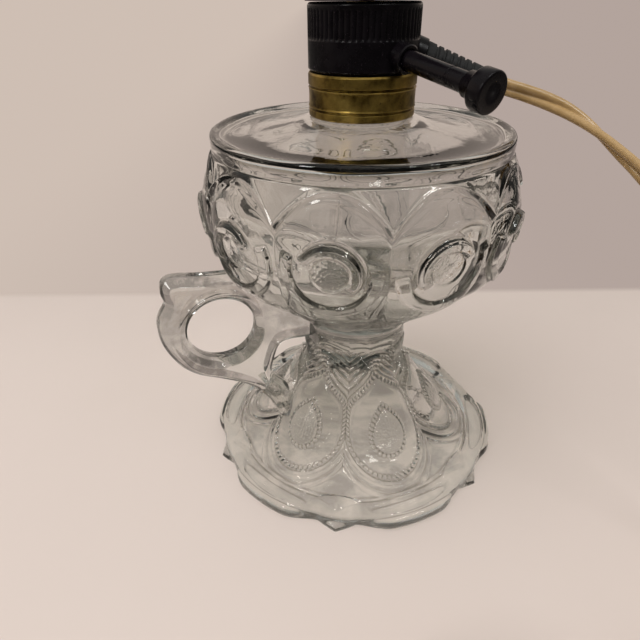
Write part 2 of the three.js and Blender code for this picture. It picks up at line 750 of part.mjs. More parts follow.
function housingGeometry() {
  const outer = HOUSING_RADIUS;
  const inner = HOUSING_BORE_RADIUS;
  const shell = turnedRing([
    [inner, HOUSING_Z],
    [outer - HOUSING_EDGE, HOUSING_Z],
    [outer, HOUSING_Z + HOUSING_EDGE],
    [outer, HOUSING_TOP_Z - HOUSING_EDGE],
    [outer - HOUSING_EDGE, HOUSING_TOP_Z],
    [inner, HOUSING_TOP_Z],
  ]);
  const middle = (knobWallIn + knobWallOut) / 2;
  const boss = alongKnob(BOSS_RADIUS, middle, knobWallOut + BOSS_LENGTH);
  const leadBoss = alongCord(LEAD_BOSS_RADIUS, cordWallOut - HOUSING_EDGE, cordWallOut + LEAD_BOSS_LENGTH);
  const collarRoom = rod(COLLAR_LIP_RADIUS + 2 * CLEARANCE, COLLAR_Z, HOUSING_Z, ROUND_SEGMENTS);
  const holes = Object.values(SCREW_TURNS).map((turn) => aim(
    rod(SCREW_SHANK_RADIUS + CLEARANCE, 0, outer + OVERRUN),
    screwDirection(turn),
    screwPlace(),
  ));
  const bushingHole = alongKnob(BUSHING_RADIUS + CLEARANCE, 0, knobFace);
  const reliefHole = alongCord(RELIEF_NECK_RADIUS + CLEARANCE, 0, reliefTip);
  return cut(join(shell, boss, leadBoss), bushingHole, reliefHole, collarRoom, ...holes);
}

function housingScrew(turn) {
  const tip = HOUSING_BORE_RADIUS;
  const seat = HOUSING_RADIUS + CLEARANCE;
  const screw = turned([
    [0, tip],
    [SCREW_SHANK_RADIUS, tip],
    [SCREW_SHANK_RADIUS, seat],
    [SCREW_HEAD_RADIUS, seat],
    [SCREW_HEAD_RADIUS, seat + SCREW_HEAD_LENGTH / 2],
    [0, seat + SCREW_HEAD_LENGTH],
  ], SCREW_SEGMENTS);
  return aim(screw, screwDirection(turn), screwPlace());
}

// Switch pieces, made along +Z from the crossing of the axes
function bushingGeometry() {
  const bore = SPINDLE_RADIUS + CLEARANCE;
  const end = knobHubEnd - CLEARANCE;
  const outer = BUSHING_RADIUS;
  return turnedRing([[bore, knobWallIn], [outer, knobWallIn], [outer, end], [bore, end]], KNOB_SEGMENTS);
}

function knobGeometry() {
  const bore = SPINDLE_RADIUS + CLEARANCE;
  const back = knobFace - KNOB_LENGTH;
  return turned([
    [bore, knobHubEnd],
    [KNOB_HUB_RADIUS, knobHubEnd],
    [KNOB_HUB_RADIUS, back],
    [KNOB_RADIUS - KNOB_CHAMFER, back],
    [KNOB_RADIUS, back + KNOB_CHAMFER],
    [KNOB_RADIUS, knobFace - KNOB_FACE_EDGE],
    [KNOB_RADIUS - KNOB_FACE_EDGE, knobFace],
    [0, knobFace],
    [0, knobHubEnd + KNOB_BORE_DEPTH],
    [bore, knobHubEnd + KNOB_BORE_DEPTH],
    [bore, knobHubEnd],
  ], KNOB_SEGMENTS);
}

const rotorOuterEnd = ROTOR_INNER_END + ROTOR_LENGTH;
const rotorBoreEnd = rotorOuterEnd - ROTOR_BORE_DEPTH;

function spindleGeometry() {
  return rod(SPINDLE_RADIUS, rotorBoreEnd + CLEARANCE, knobHubEnd + KNOB_BORE_DEPTH - CLEARANCE);
}

function rotorGeometry() {
  const bore = SPINDLE_RADIUS + CLEARANCE;
  return turned([
    [0, ROTOR_INNER_END],
    [ROTOR_RADIUS, ROTOR_INNER_END],
    [ROTOR_RADIUS, rotorOuterEnd],
    [bore, rotorOuterEnd],
    [bore, rotorBoreEnd],
    [0, rotorBoreEnd],
  ], SPINDLE_SEGMENTS);
}

// Contacts hang from the insulator, one on each side of the rotor. In their own frame +X is the
// direction of the knob, and +Y is to the right of someone who faces the knob.
const contactMiddle = (ROTOR_INNER_END + rotorOuterEnd) / 2;
const contactFace = ROTOR_RADIUS + CLEARANCE;
const contactBack = contactFace + CONTACT_THICKNESS;
const contactTop = INSULATOR_Z - CLEARANCE;
const terminalHeight = contactTop - TERMINAL_DROP;

function turnToKnob(geometry) {
  return geometry.rotateZ(THREE.MathUtils.degToRad(KNOB_TURN - 90));
}

function contactStrip(side) {
  const along = [contactMiddle - CONTACT_WIDTH / 2, contactMiddle + CONTACT_WIDTH / 2];
  const across = [side * contactFace, side * contactBack].sort((a, b) => a - b);
  return block([along[0], across[0], contactTop - CONTACT_DROP], [along[1], across[1], contactTop]);
}

function lineContactGeometry() {
  const hole = aim(
    rod(TERMINAL_SHANK_RADIUS + CLEARANCE, 0, contactBack + OVERRUN),
    new THREE.Vector3(0, 1, 0),
    new THREE.Vector3(contactMiddle, 0, terminalHeight),
  );
  return turnToKnob(cut(contactStrip(1), hole));
}

function lampContactGeometry() {
  const half = CONTACT_STEM_RADIUS * 2;
  const bridge = block(
    [-half, -contactBack, contactTop - CONTACT_THICKNESS],
    [contactMiddle + CONTACT_WIDTH / 2, half, contactTop],
  );
  const clearEnd = [contactMiddle + CONTACT_WIDTH, contactFace, INSULATOR_Z];
  const clearOfLine = block([half, 0, contactTop - OVERRUN], clearEnd);
  return turnToKnob(cut(join(contactStrip(-1), bridge), clearOfLine));
}

// Terminal screw along +Z, its head's seat at zero
function terminalScrew() {
  return turned([
    [0, -TERMINAL_SHANK_LENGTH],
    [TERMINAL_SHANK_RADIUS, -TERMINAL_SHANK_LENGTH],
    [TERMINAL_SHANK_RADIUS, 0],
    [TERMINAL_HEAD_RADIUS, 0],
    [TERMINAL_HEAD_RADIUS, TERMINAL_HEAD_LENGTH],
    [0, TERMINAL_HEAD_LENGTH],
  ], SCREW_SEGMENTS);
}

const strapFace = STRAP_REACH + STRAP_THICKNESS;

function strapGeometry() {
  const top = SOCKET_Z - CLEARANCE;
  const half = STRAP_WIDTH / 2;
  const strip = block([STRAP_REACH, -half, contactTop - STRAP_DROP], [strapFace, half, top]);
  const hole = aim(
    rod(TERMINAL_SHANK_RADIUS + CLEARANCE, 0, strapFace + OVERRUN),
    new THREE.Vector3(1, 0, 0),
    new THREE.Vector3(0, 0, terminalHeight),
  );
  return cut(strip, hole).rotateZ(THREE.MathUtils.degToRad(STRAP_TURN - 90));
}

function insulatorGeometry() {
  const top = INSULATOR_Z + INSULATOR_THICKNESS;
  const disc = rod(INSULATOR_RADIUS, INSULATOR_Z, top, ROUND_SEGMENTS);
  const stemHole = rod(CONTACT_STEM_RADIUS + CLEARANCE, INSULATOR_Z - OVERRUN, top + OVERRUN);
  const half = STRAP_WIDTH / 2 + CLEARANCE;
  const slot = block(
    [STRAP_REACH - CLEARANCE, -half, INSULATOR_Z - OVERRUN],
    [strapFace + CLEARANCE, half, top + OVERRUN],
  );
  return cut(disc, stemHole, slot.rotateZ(THREE.MathUtils.degToRad(STRAP_TURN - 90)));
}

function shellGeometry() {
  const inner = SHELL_RADIUS - SHELL_WALL;
  return turnedRing([
    [SHELL_FLOOR_BORE, 0],
    [SHELL_RADIUS, 0],
    [SHELL_RADIUS, SHELL_HEIGHT - SHELL_WALL],
    [SHELL_RADIUS + SHELL_LIP, SHELL_HEIGHT],
    [inner + SHELL_LIP, SHELL_HEIGHT],
    [inner, SHELL_HEIGHT - SHELL_WALL],
    [inner, SHELL_WALL],
    [SHELL_FLOOR_BORE, SHELL_WALL],
  ]);
}

function coverGeometry() {
  const inner = COVER_RADIUS - COVER_WALL;
  const flange = INSULATOR_RADIUS;
  return turnedRing([
    [inner, 0],
    [flange, 0],
    [flange, COVER_FLANGE_HEIGHT],
    [COVER_RADIUS, COVER_FLANGE_HEIGHT + (flange - COVER_RADIUS)],
    [COVER_RADIUS, COVER_HEIGHT - COVER_LIP],
    [COVER_RADIUS - COVER_LIP, COVER_HEIGHT],
    [inner, COVER_HEIGHT],
  ]);
}

// Centre contact: a stem through the insulator and a springy tongue folded back over it
function centreContactGeometry() {
  const stem = rod(CONTACT_STEM_RADIUS, INSULATOR_Z, SOCKET_Z + TONGUE_THICKNESS / 2);
  const bend = TONGUE_HALF_LENGTH;
  const outline = new THREE.Shape([
    new THREE.Vector2(-bend, 0),
    new THREE.Vector2(bend, 0),
    new THREE.Vector2(bend + TONGUE_THICKNESS, TONGUE_THICKNESS),
    new THREE.Vector2(-bend, TONGUE_RISE),
    new THREE.Vector2(-bend, TONGUE_RISE - TONGUE_THICKNESS),
    new THREE.Vector2(bend - TONGUE_THICKNESS, TONGUE_THICKNESS),
    new THREE.Vector2(-bend, TONGUE_THICKNESS),
  ]);
  const tongue = new THREE.ExtrudeGeometry(outline, { depth: TONGUE_WIDTH, bevelEnabled: false });
  tongue.rotateX(Math.PI / 2).translate(0, TONGUE_WIDTH / 2, SOCKET_Z);
  return join(stem, tongue);
}

// Strain relief along +Z from the inside of the housing to its tip
function reliefGeometry() {
  const seat = cordWallOut + LEAD_BOSS_LENGTH + CLEARANCE;
  return turned([
    [0, cordWallIn],
    [RELIEF_NECK_RADIUS, cordWallIn],
    [RELIEF_NECK_RADIUS, seat],
    [RELIEF_ROOT_RADIUS, seat + CLEARANCE],
    [RELIEF_TIP_RADIUS, reliefTip],
    [0, reliefTip],
  ], KNOB_SEGMENTS);
}

// Two wires from the inner end of the lead to its terminals
function leadWireGeometry(side) {
  const level = place(1, CORD_TURN, 0);
  const aside = new THREE.Vector3(-level.y, level.x, 0).multiplyScalar(side * WIRE_SPREAD);
  const alongLead = (distance) => cordCrossing.clone().addScaledVector(cordDirection, distance).add(aside);
  const start = [alongLead(cordWallIn - CLEARANCE), alongLead(cordWallIn - CLEARANCE - WIRE_SPREAD)];
  const headOut = TERMINAL_HEAD_LENGTH + CLEARANCE;
  const lineEnd = turnToKnob(new THREE.BufferGeometry().setFromPoints([
    new THREE.Vector3(contactMiddle, contactBack + CLEARANCE + headOut + WIRE_SPREAD, terminalHeight),
    new THREE.Vector3(contactMiddle, contactBack + CLEARANCE + headOut, terminalHeight),
  ])).attributes.position;
  const linePoints = [0, 1].map((index) => new THREE.Vector3().fromBufferAttribute(lineEnd, index));
  const strapHead = strapFace + CLEARANCE + headOut;
  const wall = HOUSING_BORE_RADIUS - 2 * WIRE_RADIUS;
  const rise = (share) => THREE.MathUtils.lerp(start[0].z, terminalHeight, share);
  const wayRound = (share) => place(wall, THREE.MathUtils.lerp(CORD_TURN, STRAP_TURN, share), rise(share));
  const strapPoints = [
    ...WIRE_WAY_SHARES.map(wayRound),
    place(strapHead + WIRE_SPREAD, STRAP_TURN, terminalHeight),
    place(strapHead, STRAP_TURN, terminalHeight),
  ];
  const points = side < 0 ? [...start, ...linePoints] : [...start, ...strapPoints];
  return tube(points, WIRE_RADIUS, WIRE_SIDES, WIRE_STEPS);
}

// Coil of the lead: it spirals in and out by turns, and climbs a layer in each half turn where it reverses
const layerTurns = COIL_TURNS / COIL_LAYERS;
const coilOuterRadius = COIL_INNER_RADIUS + COIL_PITCH * layerTurns;
const coilCentre = new THREE.Vector3(COIL_CENTRE[0], COIL_CENTRE[1], CORD_DIAMETER / 2 + COIL_LIFT);

function coilPoint(turns) {
  const layer = Math.min(Math.floor(turns / layerTurns), COIL_LAYERS - 1);
  const wound = turns - layer * layerTurns;
  const radius = COIL_INNER_RADIUS + COIL_PITCH * (layer % 2 ? wound : layerTurns - wound);
  let climb = 0;
  for (let reverse = 1; reverse < COIL_LAYERS; reverse += 1) {
    const middle = reverse * layerTurns;
    const share = THREE.MathUtils.smoothstep(turns, middle - COIL_CLIMB_SHARE, middle + COIL_CLIMB_SHARE);
    climb += share * COIL_PITCH;
  }
  const angle = THREE.MathUtils.degToRad(COIL_START_TURN) - turns * 2 * Math.PI;
  return new THREE.Vector3(radius * Math.cos(angle), radius * Math.sin(angle), climb).add(coilCentre);
}

function coilTangent(turns, sense) {
  const angle = THREE.MathUtils.degToRad(COIL_START_TURN) - turns * 2 * Math.PI;
  return new THREE.Vector3(Math.sin(angle), -Math.cos(angle), 0).multiplyScalar(sense);
}

function coilRoute() {
  const steps = COIL_TURNS * COIL_STEPS;
  const points = [coilPoint(0).addScaledVector(coilTangent(0, -1), CORD_DIAMETER)];
  for (let step = 0; step <= steps; step += 1) {
    points.push(coilPoint(step / COIL_STEPS));
  }
  points.push(coilPoint(COIL_TURNS).addScaledVector(coilTangent(COIL_TURNS, 1), CORD_DIAMETER));
  return points;
}

// Tube with one ring of corners at each point, square to the route there
function coilGeometry() {
  const route = coilRoute();
  const up = new THREE.Vector3(0, 0, 1);
  const rings = route.map((point, index) => {
    const before = route[Math.max(index - 1, 0)];
    const after = route[Math.min(index + 1, route.length - 1)];
    const along = after.clone().sub(before).normalize();
    const side = along.clone().cross(up).normalize();
    const top = side.clone().cross(along);
    const ring = [];
    for (let step = 0; step < COIL_SIDES; step += 1) {
      const angle = ((2 * step + 1) / COIL_SIDES) * Math.PI;
      const corner = point.clone().addScaledVector(side, (CORD_DIAMETER / 2) * Math.cos(angle));
      ring.push(corner.addScaledVector(top, (CORD_DIAMETER / 2) * Math.sin(angle)));
    }
    return ring;
  });
  return ringBody(rings);
}

// Least gap of the coil to itself, between points that lie more than half a turn apart
function coilGap() {
  const route = coilRoute();
  let least = Infinity;
  for (let one = 0; one < route.length; one += 1) {
    for (let other = one + COIL_STEPS / 2; other < route.length; other += 1) {
      least = Math.min(least, route[one].distanceTo(route[other]));
    }
  }
  return least - CORD_DIAMETER;
}

const routeStart = cordCrossing.clone().addScaledVector(cordDirection, reliefTip + CLEARANCE);
const freeRoute = [
  routeStart,
  ...CORD_ROUTE.map((point) => new THREE.Vector3(...point)),
  coilPoint(0).addScaledVector(coilTangent(0, -1), CORD_DIAMETER + CLEARANCE),
];
const coilEnd = coilPoint(COIL_TURNS).addScaledVector(coilTangent(COIL_TURNS, 1), CORD_DIAMETER);
const tailRoute = [
  coilEnd.clone().addScaledVector(coilTangent(COIL_TURNS, 1), CLEARANCE),
  ...TAIL_ROUTE.map((point) => new THREE.Vector3(...point).add(coilEnd)),
];

// Tie: a flat band round all the turns at one place
function tieGeometry() {
  const low = [COIL_INNER_RADIUS - CORD_DIAMETER / 2 - 2 * CLEARANCE, -TIE_WIDTH / 2, TIE_THICKNESS];
  const high = [
    coilOuterRadius + CORD_DIAMETER / 2 + 2 * CLEARANCE,
    TIE_WIDTH / 2,
    COIL_LIFT + CORD_DIAMETER + COIL_PITCH * (COIL_LAYERS - 1) + CLEARANCE,
  ];
  const outerLow = [low[0] - TIE_THICKNESS, low[1], 0];
  const outerHigh = [high[0] + TIE_THICKNESS, high[1], high[2] + TIE_THICKNESS];
  const inside = block([low[0], low[1] - OVERRUN, low[2]], [high[0], high[1] + OVERRUN, high[2]]);
  return cut(block(outerLow, outerHigh), inside);
}

// Plug along +Y with its back at zero and its underside on the surface
function plugOutline() {
  const half = PLUG_WIDTH / 2;
  const nose = PLUG_NOSE_WIDTH / 2;
  return new THREE.Shape([
    new THREE.Vector2(-nose, 0),
    new THREE.Vector2(nose, 0),
    new THREE.Vector2(half, PLUG_NOSE_LENGTH),
    new THREE.Vector2(half, PLUG_LENGTH),
    new THREE.Vector2(-half, PLUG_LENGTH),
    new THREE.Vector2(-half, PLUG_NOSE_LENGTH),
  ]);
}

function bladePair(grow) {
  return [-1, 1].map((side) => {
    const middle = (side * BLADE_SPACING) / 2;
    const thick = BLADE_THICKNESS / 2 + grow;
    const wide = BLADE_WIDTH / 2 + grow;
    const root = PLUG_LENGTH - BLADE_ROOT - grow;
    return block([middle - thick, root, -wide], [middle + thick, PLUG_LENGTH + BLADE_LENGTH, wide]);
  });
}

function plugGeometry() {
  const body = new THREE.ExtrudeGeometry(plugOutline(), {
    depth: PLUG_HEIGHT - 2 * PLUG_ROUNDING,
    bevelThickness: PLUG_ROUNDING,
    bevelSize: PLUG_ROUNDING,
    bevelOffset: -PLUG_ROUNDING,
    bevelSegments: HANDLE_ROUNDING_STEPS,
  });
  body.translate(0, 0, PLUG_ROUNDING - PLUG_HEIGHT / 2);
  return cut(body, ...bladePair(CLEARANCE));
}

// Assembly
function piece(name, geometry, material) {
  const mesh = new THREE.Mesh(geometry, material);
  mesh.name = name;
  return mesh;
}

function raised(mesh, height) {
  mesh.position.z = height;
  return mesh;
}

function glassGroup() {
  const group = new THREE.Group();
  group.add(
    piece('glass_foot', footGeometry(), GLASS),
    piece('glass_font', fontGeometry(), GLASS),
    piece('glass_handle', handleGeometry(), GLASS),
    raised(piece('brass_collar', collarGeometry(), BRASS), COLLAR_Z),
    raised(piece('collar_cement', cementGeometry(), CEMENT), COLLAR_Z),
  );
  return group;
}

function adapterGroup() {
  const group = new THREE.Group();
  const lineScrew = turnToKnob(aim(
    terminalScrew(),
    new THREE.Vector3(0, 1, 0),
    new THREE.Vector3(contactMiddle, contactBack + CLEARANCE, terminalHeight),
  ));
  const strapScrewSeat = place(strapFace + CLEARANCE, STRAP_TURN, terminalHeight);
  Object.entries(SCREW_TURNS).forEach(([end, turn]) => {
    group.add(piece(`housing_screw_${end}`, housingScrew(turn), STEEL));
  });
  group.add(
    piece('adapter_base', baseGeometry(), PHENOLIC),
    piece('switch_housing', housingGeometry(), PHENOLIC),
    piece('line_contact', lineContactGeometry(), BRIGHT_BRASS),
    piece('lamp_contact', lampContactGeometry(), BRIGHT_BRASS),
    piece('shell_strap', strapGeometry(), BRIGHT_BRASS),
    piece('line_terminal_screw', lineScrew, STEEL),
    piece('return_terminal_screw', aim(terminalScrew(), outward(STRAP_TURN, 0), strapScrewSeat), STEEL),
    piece('line_wire', leadWireGeometry(-1), RUBBER),
    piece('return_wire', leadWireGeometry(1), RUBBER),
    piece('socket_insulator', insulatorGeometry(), PHENOLIC),
    piece('centre_contact', centreContactGeometry(), BRIGHT_BRASS),
    raised(piece('screw_shell', shellGeometry(), BRIGHT_BRASS), SOCKET_Z),
    raised(piece('socket_cover', coverGeometry(), PHENOLIC), SOCKET_Z),
  );
  return group;
}

// The switch's own group has its zero where its axis crosses the axis of the lamp
function switchGroup() {
  const group = new THREE.Group();
  group.position.copy(knobCrossing);
  group.quaternion.setFromUnitVectors(new THREE.Vector3(0, 0, 1), knobDirection);
  group.add(
    piece('knob_bushing', bushingGeometry(), PHENOLIC),
    piece('switch_spindle', spindleGeometry(), STEEL),
    piece('switch_rotor', rotorGeometry(), BRIGHT_BRASS),
    piece('turn_knob', knobGeometry(), PHENOLIC),
  );
  return group;
}

function cordGroup() {
  const group = new THREE.Group();
  const tie = piece('coil_tie', tieGeometry(), TIE_WRAP);
  tie.position.set(coilCentre.x, coilCentre.y, 0);
  tie.rotation.z = THREE.MathUtils.degToRad(TIE_TURN);
  const plug = new THREE.Group();
  const [tailBefore, tailEnd] = tailRoute.slice(-2);
  const heading = tailEnd.clone().sub(tailBefore).setZ(0).normalize();
  plug.position.copy(tailEnd).addScaledVector(heading, CLEARANCE).setZ(PLUG_HEIGHT / 2);
  plug.rotation.z = -Math.atan2(heading.x, heading.y);
  const [leftBlade, rightBlade] = bladePair(0);
  plug.add(
    piece('plug_body', plugGeometry(), PLUG_VINYL),
    piece('plug_blade_left', leftBlade, BRIGHT_BRASS),
    piece('plug_blade_right', rightBlade, BRIGHT_BRASS),
  );
  group.add(
    piece('cord_relief', aim(reliefGeometry(), cordDirection, cordCrossing), RUBBER),
    piece('cord_free', tube(freeRoute, CORD_DIAMETER / 2, CORD_SIDES, CORD_STEPS), CORD_VINYL),
    piece('cord_coil', coilGeometry(), CORD_VINYL),
    piece('cord_tail', tube(tailRoute, CORD_DIAMETER / 2, CORD_SIDES, TAIL_STEPS), CORD_VINYL),
    tie,
    plug,
  );
  return group;
}

const glass = glassGroup();
const lamp = new THREE.Group();
lamp.add(glass, adapterGroup(), switchGroup());
const middle = new THREE.Box3().setFromObject(lamp, true).getCenter(new THREE.Vector3());

const electrifiedOilLamp = new THREE.Group();
electrifiedOilLamp.add(lamp, cordGroup());
electrifiedOilLamp.position.set(-middle.x, -middle.y, 0);

const lengths = [freeRoute, tailRoute].map((route) => new THREE.CatmullRomCurve3(route).getLength());
const coilLength = coilRoute().reduce((sum, point, index, route) => (
  index ? sum + point.distanceTo(route[index - 1]) : sum
), 0);
const total = lengths[0] + coilLength + lengths[1];
console.log(`lead: free ${lengths[0].toFixed(1)}, tail ${lengths[1].toFixed(1)}`);
console.log(`lead: coil ${coilLength.toFixed(1)}, with a least gap of ${coilGap().toFixed(2)}`);
console.log(`lead: whole ${total.toFixed(1)}`);
console.log(`lamp axis at ${(-middle.x).toFixed(3)}, ${(-middle.y).toFixed(3)}`);

export default electrifiedOilLamp;
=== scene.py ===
"""Finish of an electrified pressed-glass oil lamp: glass, collar, adapter, knob and coiled mains lead."""

import math

import bmesh
import bpy
import numpy as np
from mathutils import Matrix, Vector


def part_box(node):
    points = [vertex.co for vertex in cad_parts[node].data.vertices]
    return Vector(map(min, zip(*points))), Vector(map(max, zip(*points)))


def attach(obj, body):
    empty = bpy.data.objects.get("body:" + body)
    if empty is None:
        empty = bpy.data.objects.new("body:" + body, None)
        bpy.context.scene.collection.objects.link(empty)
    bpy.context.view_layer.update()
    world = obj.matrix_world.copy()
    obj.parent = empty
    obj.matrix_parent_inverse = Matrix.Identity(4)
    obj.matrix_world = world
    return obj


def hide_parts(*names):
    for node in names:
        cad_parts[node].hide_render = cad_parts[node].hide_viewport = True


bl_info = {
    "name": "Electrified Oil Lamp",
    "version": (1, 0, 0),
    "blender": (4, 5, 0),
    "location": "View3D > Sidebar > Oil Lamp",
    "description": "Builds the finish of a pressed-glass oil lamp with an electric adapter",
    "category": "Object",
}

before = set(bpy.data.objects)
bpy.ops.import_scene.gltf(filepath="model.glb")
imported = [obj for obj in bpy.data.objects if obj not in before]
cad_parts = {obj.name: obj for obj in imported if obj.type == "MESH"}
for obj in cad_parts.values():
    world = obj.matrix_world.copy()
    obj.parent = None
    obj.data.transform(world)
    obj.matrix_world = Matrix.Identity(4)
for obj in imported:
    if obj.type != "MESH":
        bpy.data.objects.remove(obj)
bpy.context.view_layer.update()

MM = 0.001
CLEARANCE = 0.3 * MM
COLLAR_LOW, COLLAR_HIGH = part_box("brass_collar")
AXIS = (COLLAR_LOW + COLLAR_HIGH) / 2
HOUSING_LOW, HOUSING_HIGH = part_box("switch_housing")
HOUSING_RADIUS = 17.2 * MM
HOUSING_WALL = 2.5 * MM

# Camera, from the axis of the lamp
CAMERA_PLACE = (-78.2 * MM, -164.05 * MM, 167.65 * MM)
CAMERA_PITCH = math.radians(31.99)
CAMERA_YAW = math.radians(20.97)
CAMERA_ROLL = math.radians(-0.61)
CAMERA_LENS = 29.25


# Settings that a user would change


def colour_setting(name, description, default):
    return bpy.props.FloatVectorProperty(name=name, description=description, default=default, subtype="COLOR")


def length_setting(name, description, millimetres):
    default = millimetres * MM
    return bpy.props.FloatProperty(name=name, description=description, default=default, unit="LENGTH")


class GlassSettings(bpy.types.PropertyGroup):
    """Clear pressed glass"""

    ior: bpy.props.FloatProperty(
        name="Refraction", description="Index of refraction", default=1.5, min=1.0, max=2.0
    )
    tint: colour_setting("Tint", "Colour that the glass lets through", (0.96, 0.968, 0.955))
    # Crevice colour: partly settled dirt, partly painted shade for the dark outlines round the relief
    crevice_dirt_and_shade: colour_setting("Crevices", "Colour that settled dirt lets through", (0.34, 0.325, 0.28))
    body: colour_setting("Body", "Grey cast of thick glass", (0.6, 0.615, 0.58))
    eye_radius: length_setting("Eye radius", "Outer radius of each round eye", 9.2)
    bead_size: length_setting("Bead size", "Width of one bead on the foot", 1.65)
    stipple: length_setting("Stipple depth", "Depth of the stippled grounds", 0.2)
    waviness: length_setting("Waviness", "Depth of the hand-made waves in the walls", 0.17)


class MetalSettings(bpy.types.PropertyGroup):
    """Brass and plated steel"""

    aged_brass: colour_setting("Aged brass", "Tarnished brass of the collar", (0.05, 0.029, 0.004))
    worn_brass: colour_setting("Worn brass", "Brass where the tarnish is rubbed off", (0.55, 0.38, 0.1))
    steel: colour_setting("Plated steel", "Screws and spindle", (0.56, 0.55, 0.52))


class AdapterSettings(bpy.types.PropertyGroup):
    """Moulded adapter"""

    phenolic: colour_setting("Phenolic", "Black moulded parts", (0.003, 0.002, 0.003))
    thread_pitch: length_setting("Thread pitch", "Pitch of the screw shell", 3.63)


class LeadSettings(bpy.types.PropertyGroup):
    """Mains lead"""

    diameter: length_setting("Width", "Width of the two-conductor lead", 5.2)
    vinyl: colour_setting("Vinyl", "Gold-tan vinyl", (0.36, 0.225, 0.09))
    plug_vinyl: colour_setting("Plug", "Brown moulded vinyl", (0.14, 0.07, 0.025))


class StageSettings(bpy.types.PropertyGroup):
    """Floor, backdrop and lights"""

    table: colour_setting("Table", "Colour of the floor", (0.66, 0.57, 0.525))
    wall_left: colour_setting("Backdrop left", "Backdrop on its lit side", (0.62, 0.52, 0.455))
    wall_right: colour_setting("Backdrop right", "Backdrop on its dim side", (0.45, 0.37, 0.335))
    ceiling: colour_setting("Ceiling", "Light from above, as the glass shows it", (0.5, 0.49, 0.46))
    room: colour_setting("Room", "Dim room behind the camera", (0.1, 0.094, 0.085))
    edge_distance: length_setting("Edge", "Distance from the camera to the far edge of the floor", 302)


def settings(name):
    return getattr(bpy.context.scene, "lamp_" + name)


# Small helpers for shapes; turns run from -Y towards +X


def smoothstep(value, low, high):
    share = np.clip((value - low) / (high - low), 0, 1)
    return share * share * (3 - 2 * share)


def hump(distance, width):
    return np.exp(-((distance / width) ** 2))


def full_turn(count):
    """Angles spaced evenly round the axis, as one row."""
    return np.arange(count)[None, :] / count * 2 * math.pi


def polar(radius, turn, height):
    radius, turn, height = np.broadcast_arrays(radius, turn, height)
    return np.stack([AXIS.x + radius * np.sin(turn), AXIS.y - radius * np.cos(turn), height], axis=-1)


def direction(turn, droop):
    """Unit vector away from the axis, drooping below level."""
    return (math.cos(droop) * math.sin(turn), -math.cos(droop) * math.cos(turn), -math.sin(droop))


def crossing(exit_height, droop):
    """Where a drooping line that leaves the housing at a height above its lower end meets the axis."""
    return Vector((AXIS.x, AXIS.y, HOUSING_LOW.z + exit_height + HOUSING_RADIUS * math.tan(droop)))


def scaled(*pairs, base=0.0):
    """Pairs of a radius and a height in millimetres, with the heights counted from a base in metres."""
    return [(radius * MM, base + height * MM) for radius, height in pairs]


def reach_along(line):
    """Distance of every point of a line from its start."""
    return np.concatenate([[0], np.cumsum(np.linalg.norm(np.diff(line, axis=0), axis=1))])


def even_points(line, count):
    """Points spaced evenly along a line of straight runs."""
    reach = reach_along(line)
    places = np.linspace(0, reach[-1], count)
    return np.stack([np.interp(places, reach, line[:, axis]) for axis in range(line.shape[1])], axis=-1)


def rounded_line(points, count):
    """A smooth line through the points, sampled evenly along its length."""
    knots = np.array(points, float)
    padded = np.vstack([2 * knots[0] - knots[1], knots, 2 * knots[-1] - knots[-2]])
    share = np.linspace(0, 1, 24, endpoint=False)[:, None]
    fine = []
    for index in range(len(knots) - 1):
        a, b, c, d = padded[index : index + 4]
        bend = (2 * a - 5 * b + 4 * c - d) * share**2 + (3 * b - a - 3 * c + d) * share**3
        fine.append(0.5 * (2 * b + (c - a) * share + bend))
    return even_points(np.vstack([*fine, knots[-1:]]), count)


def arc_corners(profile, rounding, steps=4):
    """Rounds every corner of a closed profile by a small arc."""
    points = np.array(profile, float)
    result = []
    for index, corner in enumerate(points):
        to_before, to_after = points[index - 1] - corner, points[(index + 1) % len(points)] - corner
        reach = min(rounding, np.linalg.norm(to_before) * 0.45, np.linalg.norm(to_after) * 0.45)
        start = corner + to_before / np.linalg.norm(to_before) * reach
        end = corner + to_after / np.linalg.norm(to_after) * reach
        for share in np.arange(steps + 1) / steps:
            result.append((1 - share) ** 2 * start + 2 * share * (1 - share) * corner + share**2 * end)
    return np.array(result)


def noise_waves(across, along, seed, longest, count=14):
    """A smooth random pattern from -1 to 1 made of a few waves that close round the axis."""
    random = np.random.default_rng(seed)
    total = np.zeros(np.broadcast(across, along).shape)
    for _ in range(count):
        turns = random.integers(1, 9)
        rate = random.uniform(0.4, 2.2) / longest
        phase = random.uniform(0, 2 * math.pi)
        total += np.sin(turns * across + rate * 2 * math.pi * along + phase) / math.sqrt(count)
    return total


def stipple_field(u, v, cell, seed, table_size=64):
    """Random dimples on a grid of cells: 0 between them and up to 1 in the middle of each."""
    random = np.random.default_rng(seed)
    table = random.random((table_size, table_size, 3))
    column, row = np.floor(u / cell).astype(int), np.floor(v / cell).astype(int)
    height = np.zeros(u.shape)
    for step_u in (-1, 0, 1):
        for step_v in (-1, 0, 1):
            cell_u, cell_v = column + step_u, row + step_v
            chosen = table[cell_u % table_size, cell_v % table_size]
            middle_u = (cell_u + 0.25 + 0.5 * chosen[..., 0]) * cell
            middle_v = (cell_v + 0.25 + 0.5 * chosen[..., 1]) * cell
            near = np.hypot(u - middle_u, v - middle_v)
            height = np.maximum(height, (0.4 + 0.6 * chosen[..., 2]) * hump(near, 0.42 * cell))
    return height


def grid_faces(rows, columns, close_rows=False):
    """Four-sided faces between rows of points; each row closes on itself."""
    row, column = np.meshgrid(np.arange(rows if close_rows else rows - 1), np.arange(columns), indexing="ij")
    next_row, next_column = (row + 1) % rows, (column + 1) % columns
    corners = ((row, column), (row, next_column), (next_row, next_column), (next_row, column))
    return np.stack([place * columns + step for place, step in corners], axis=-1).reshape(-1, 4)


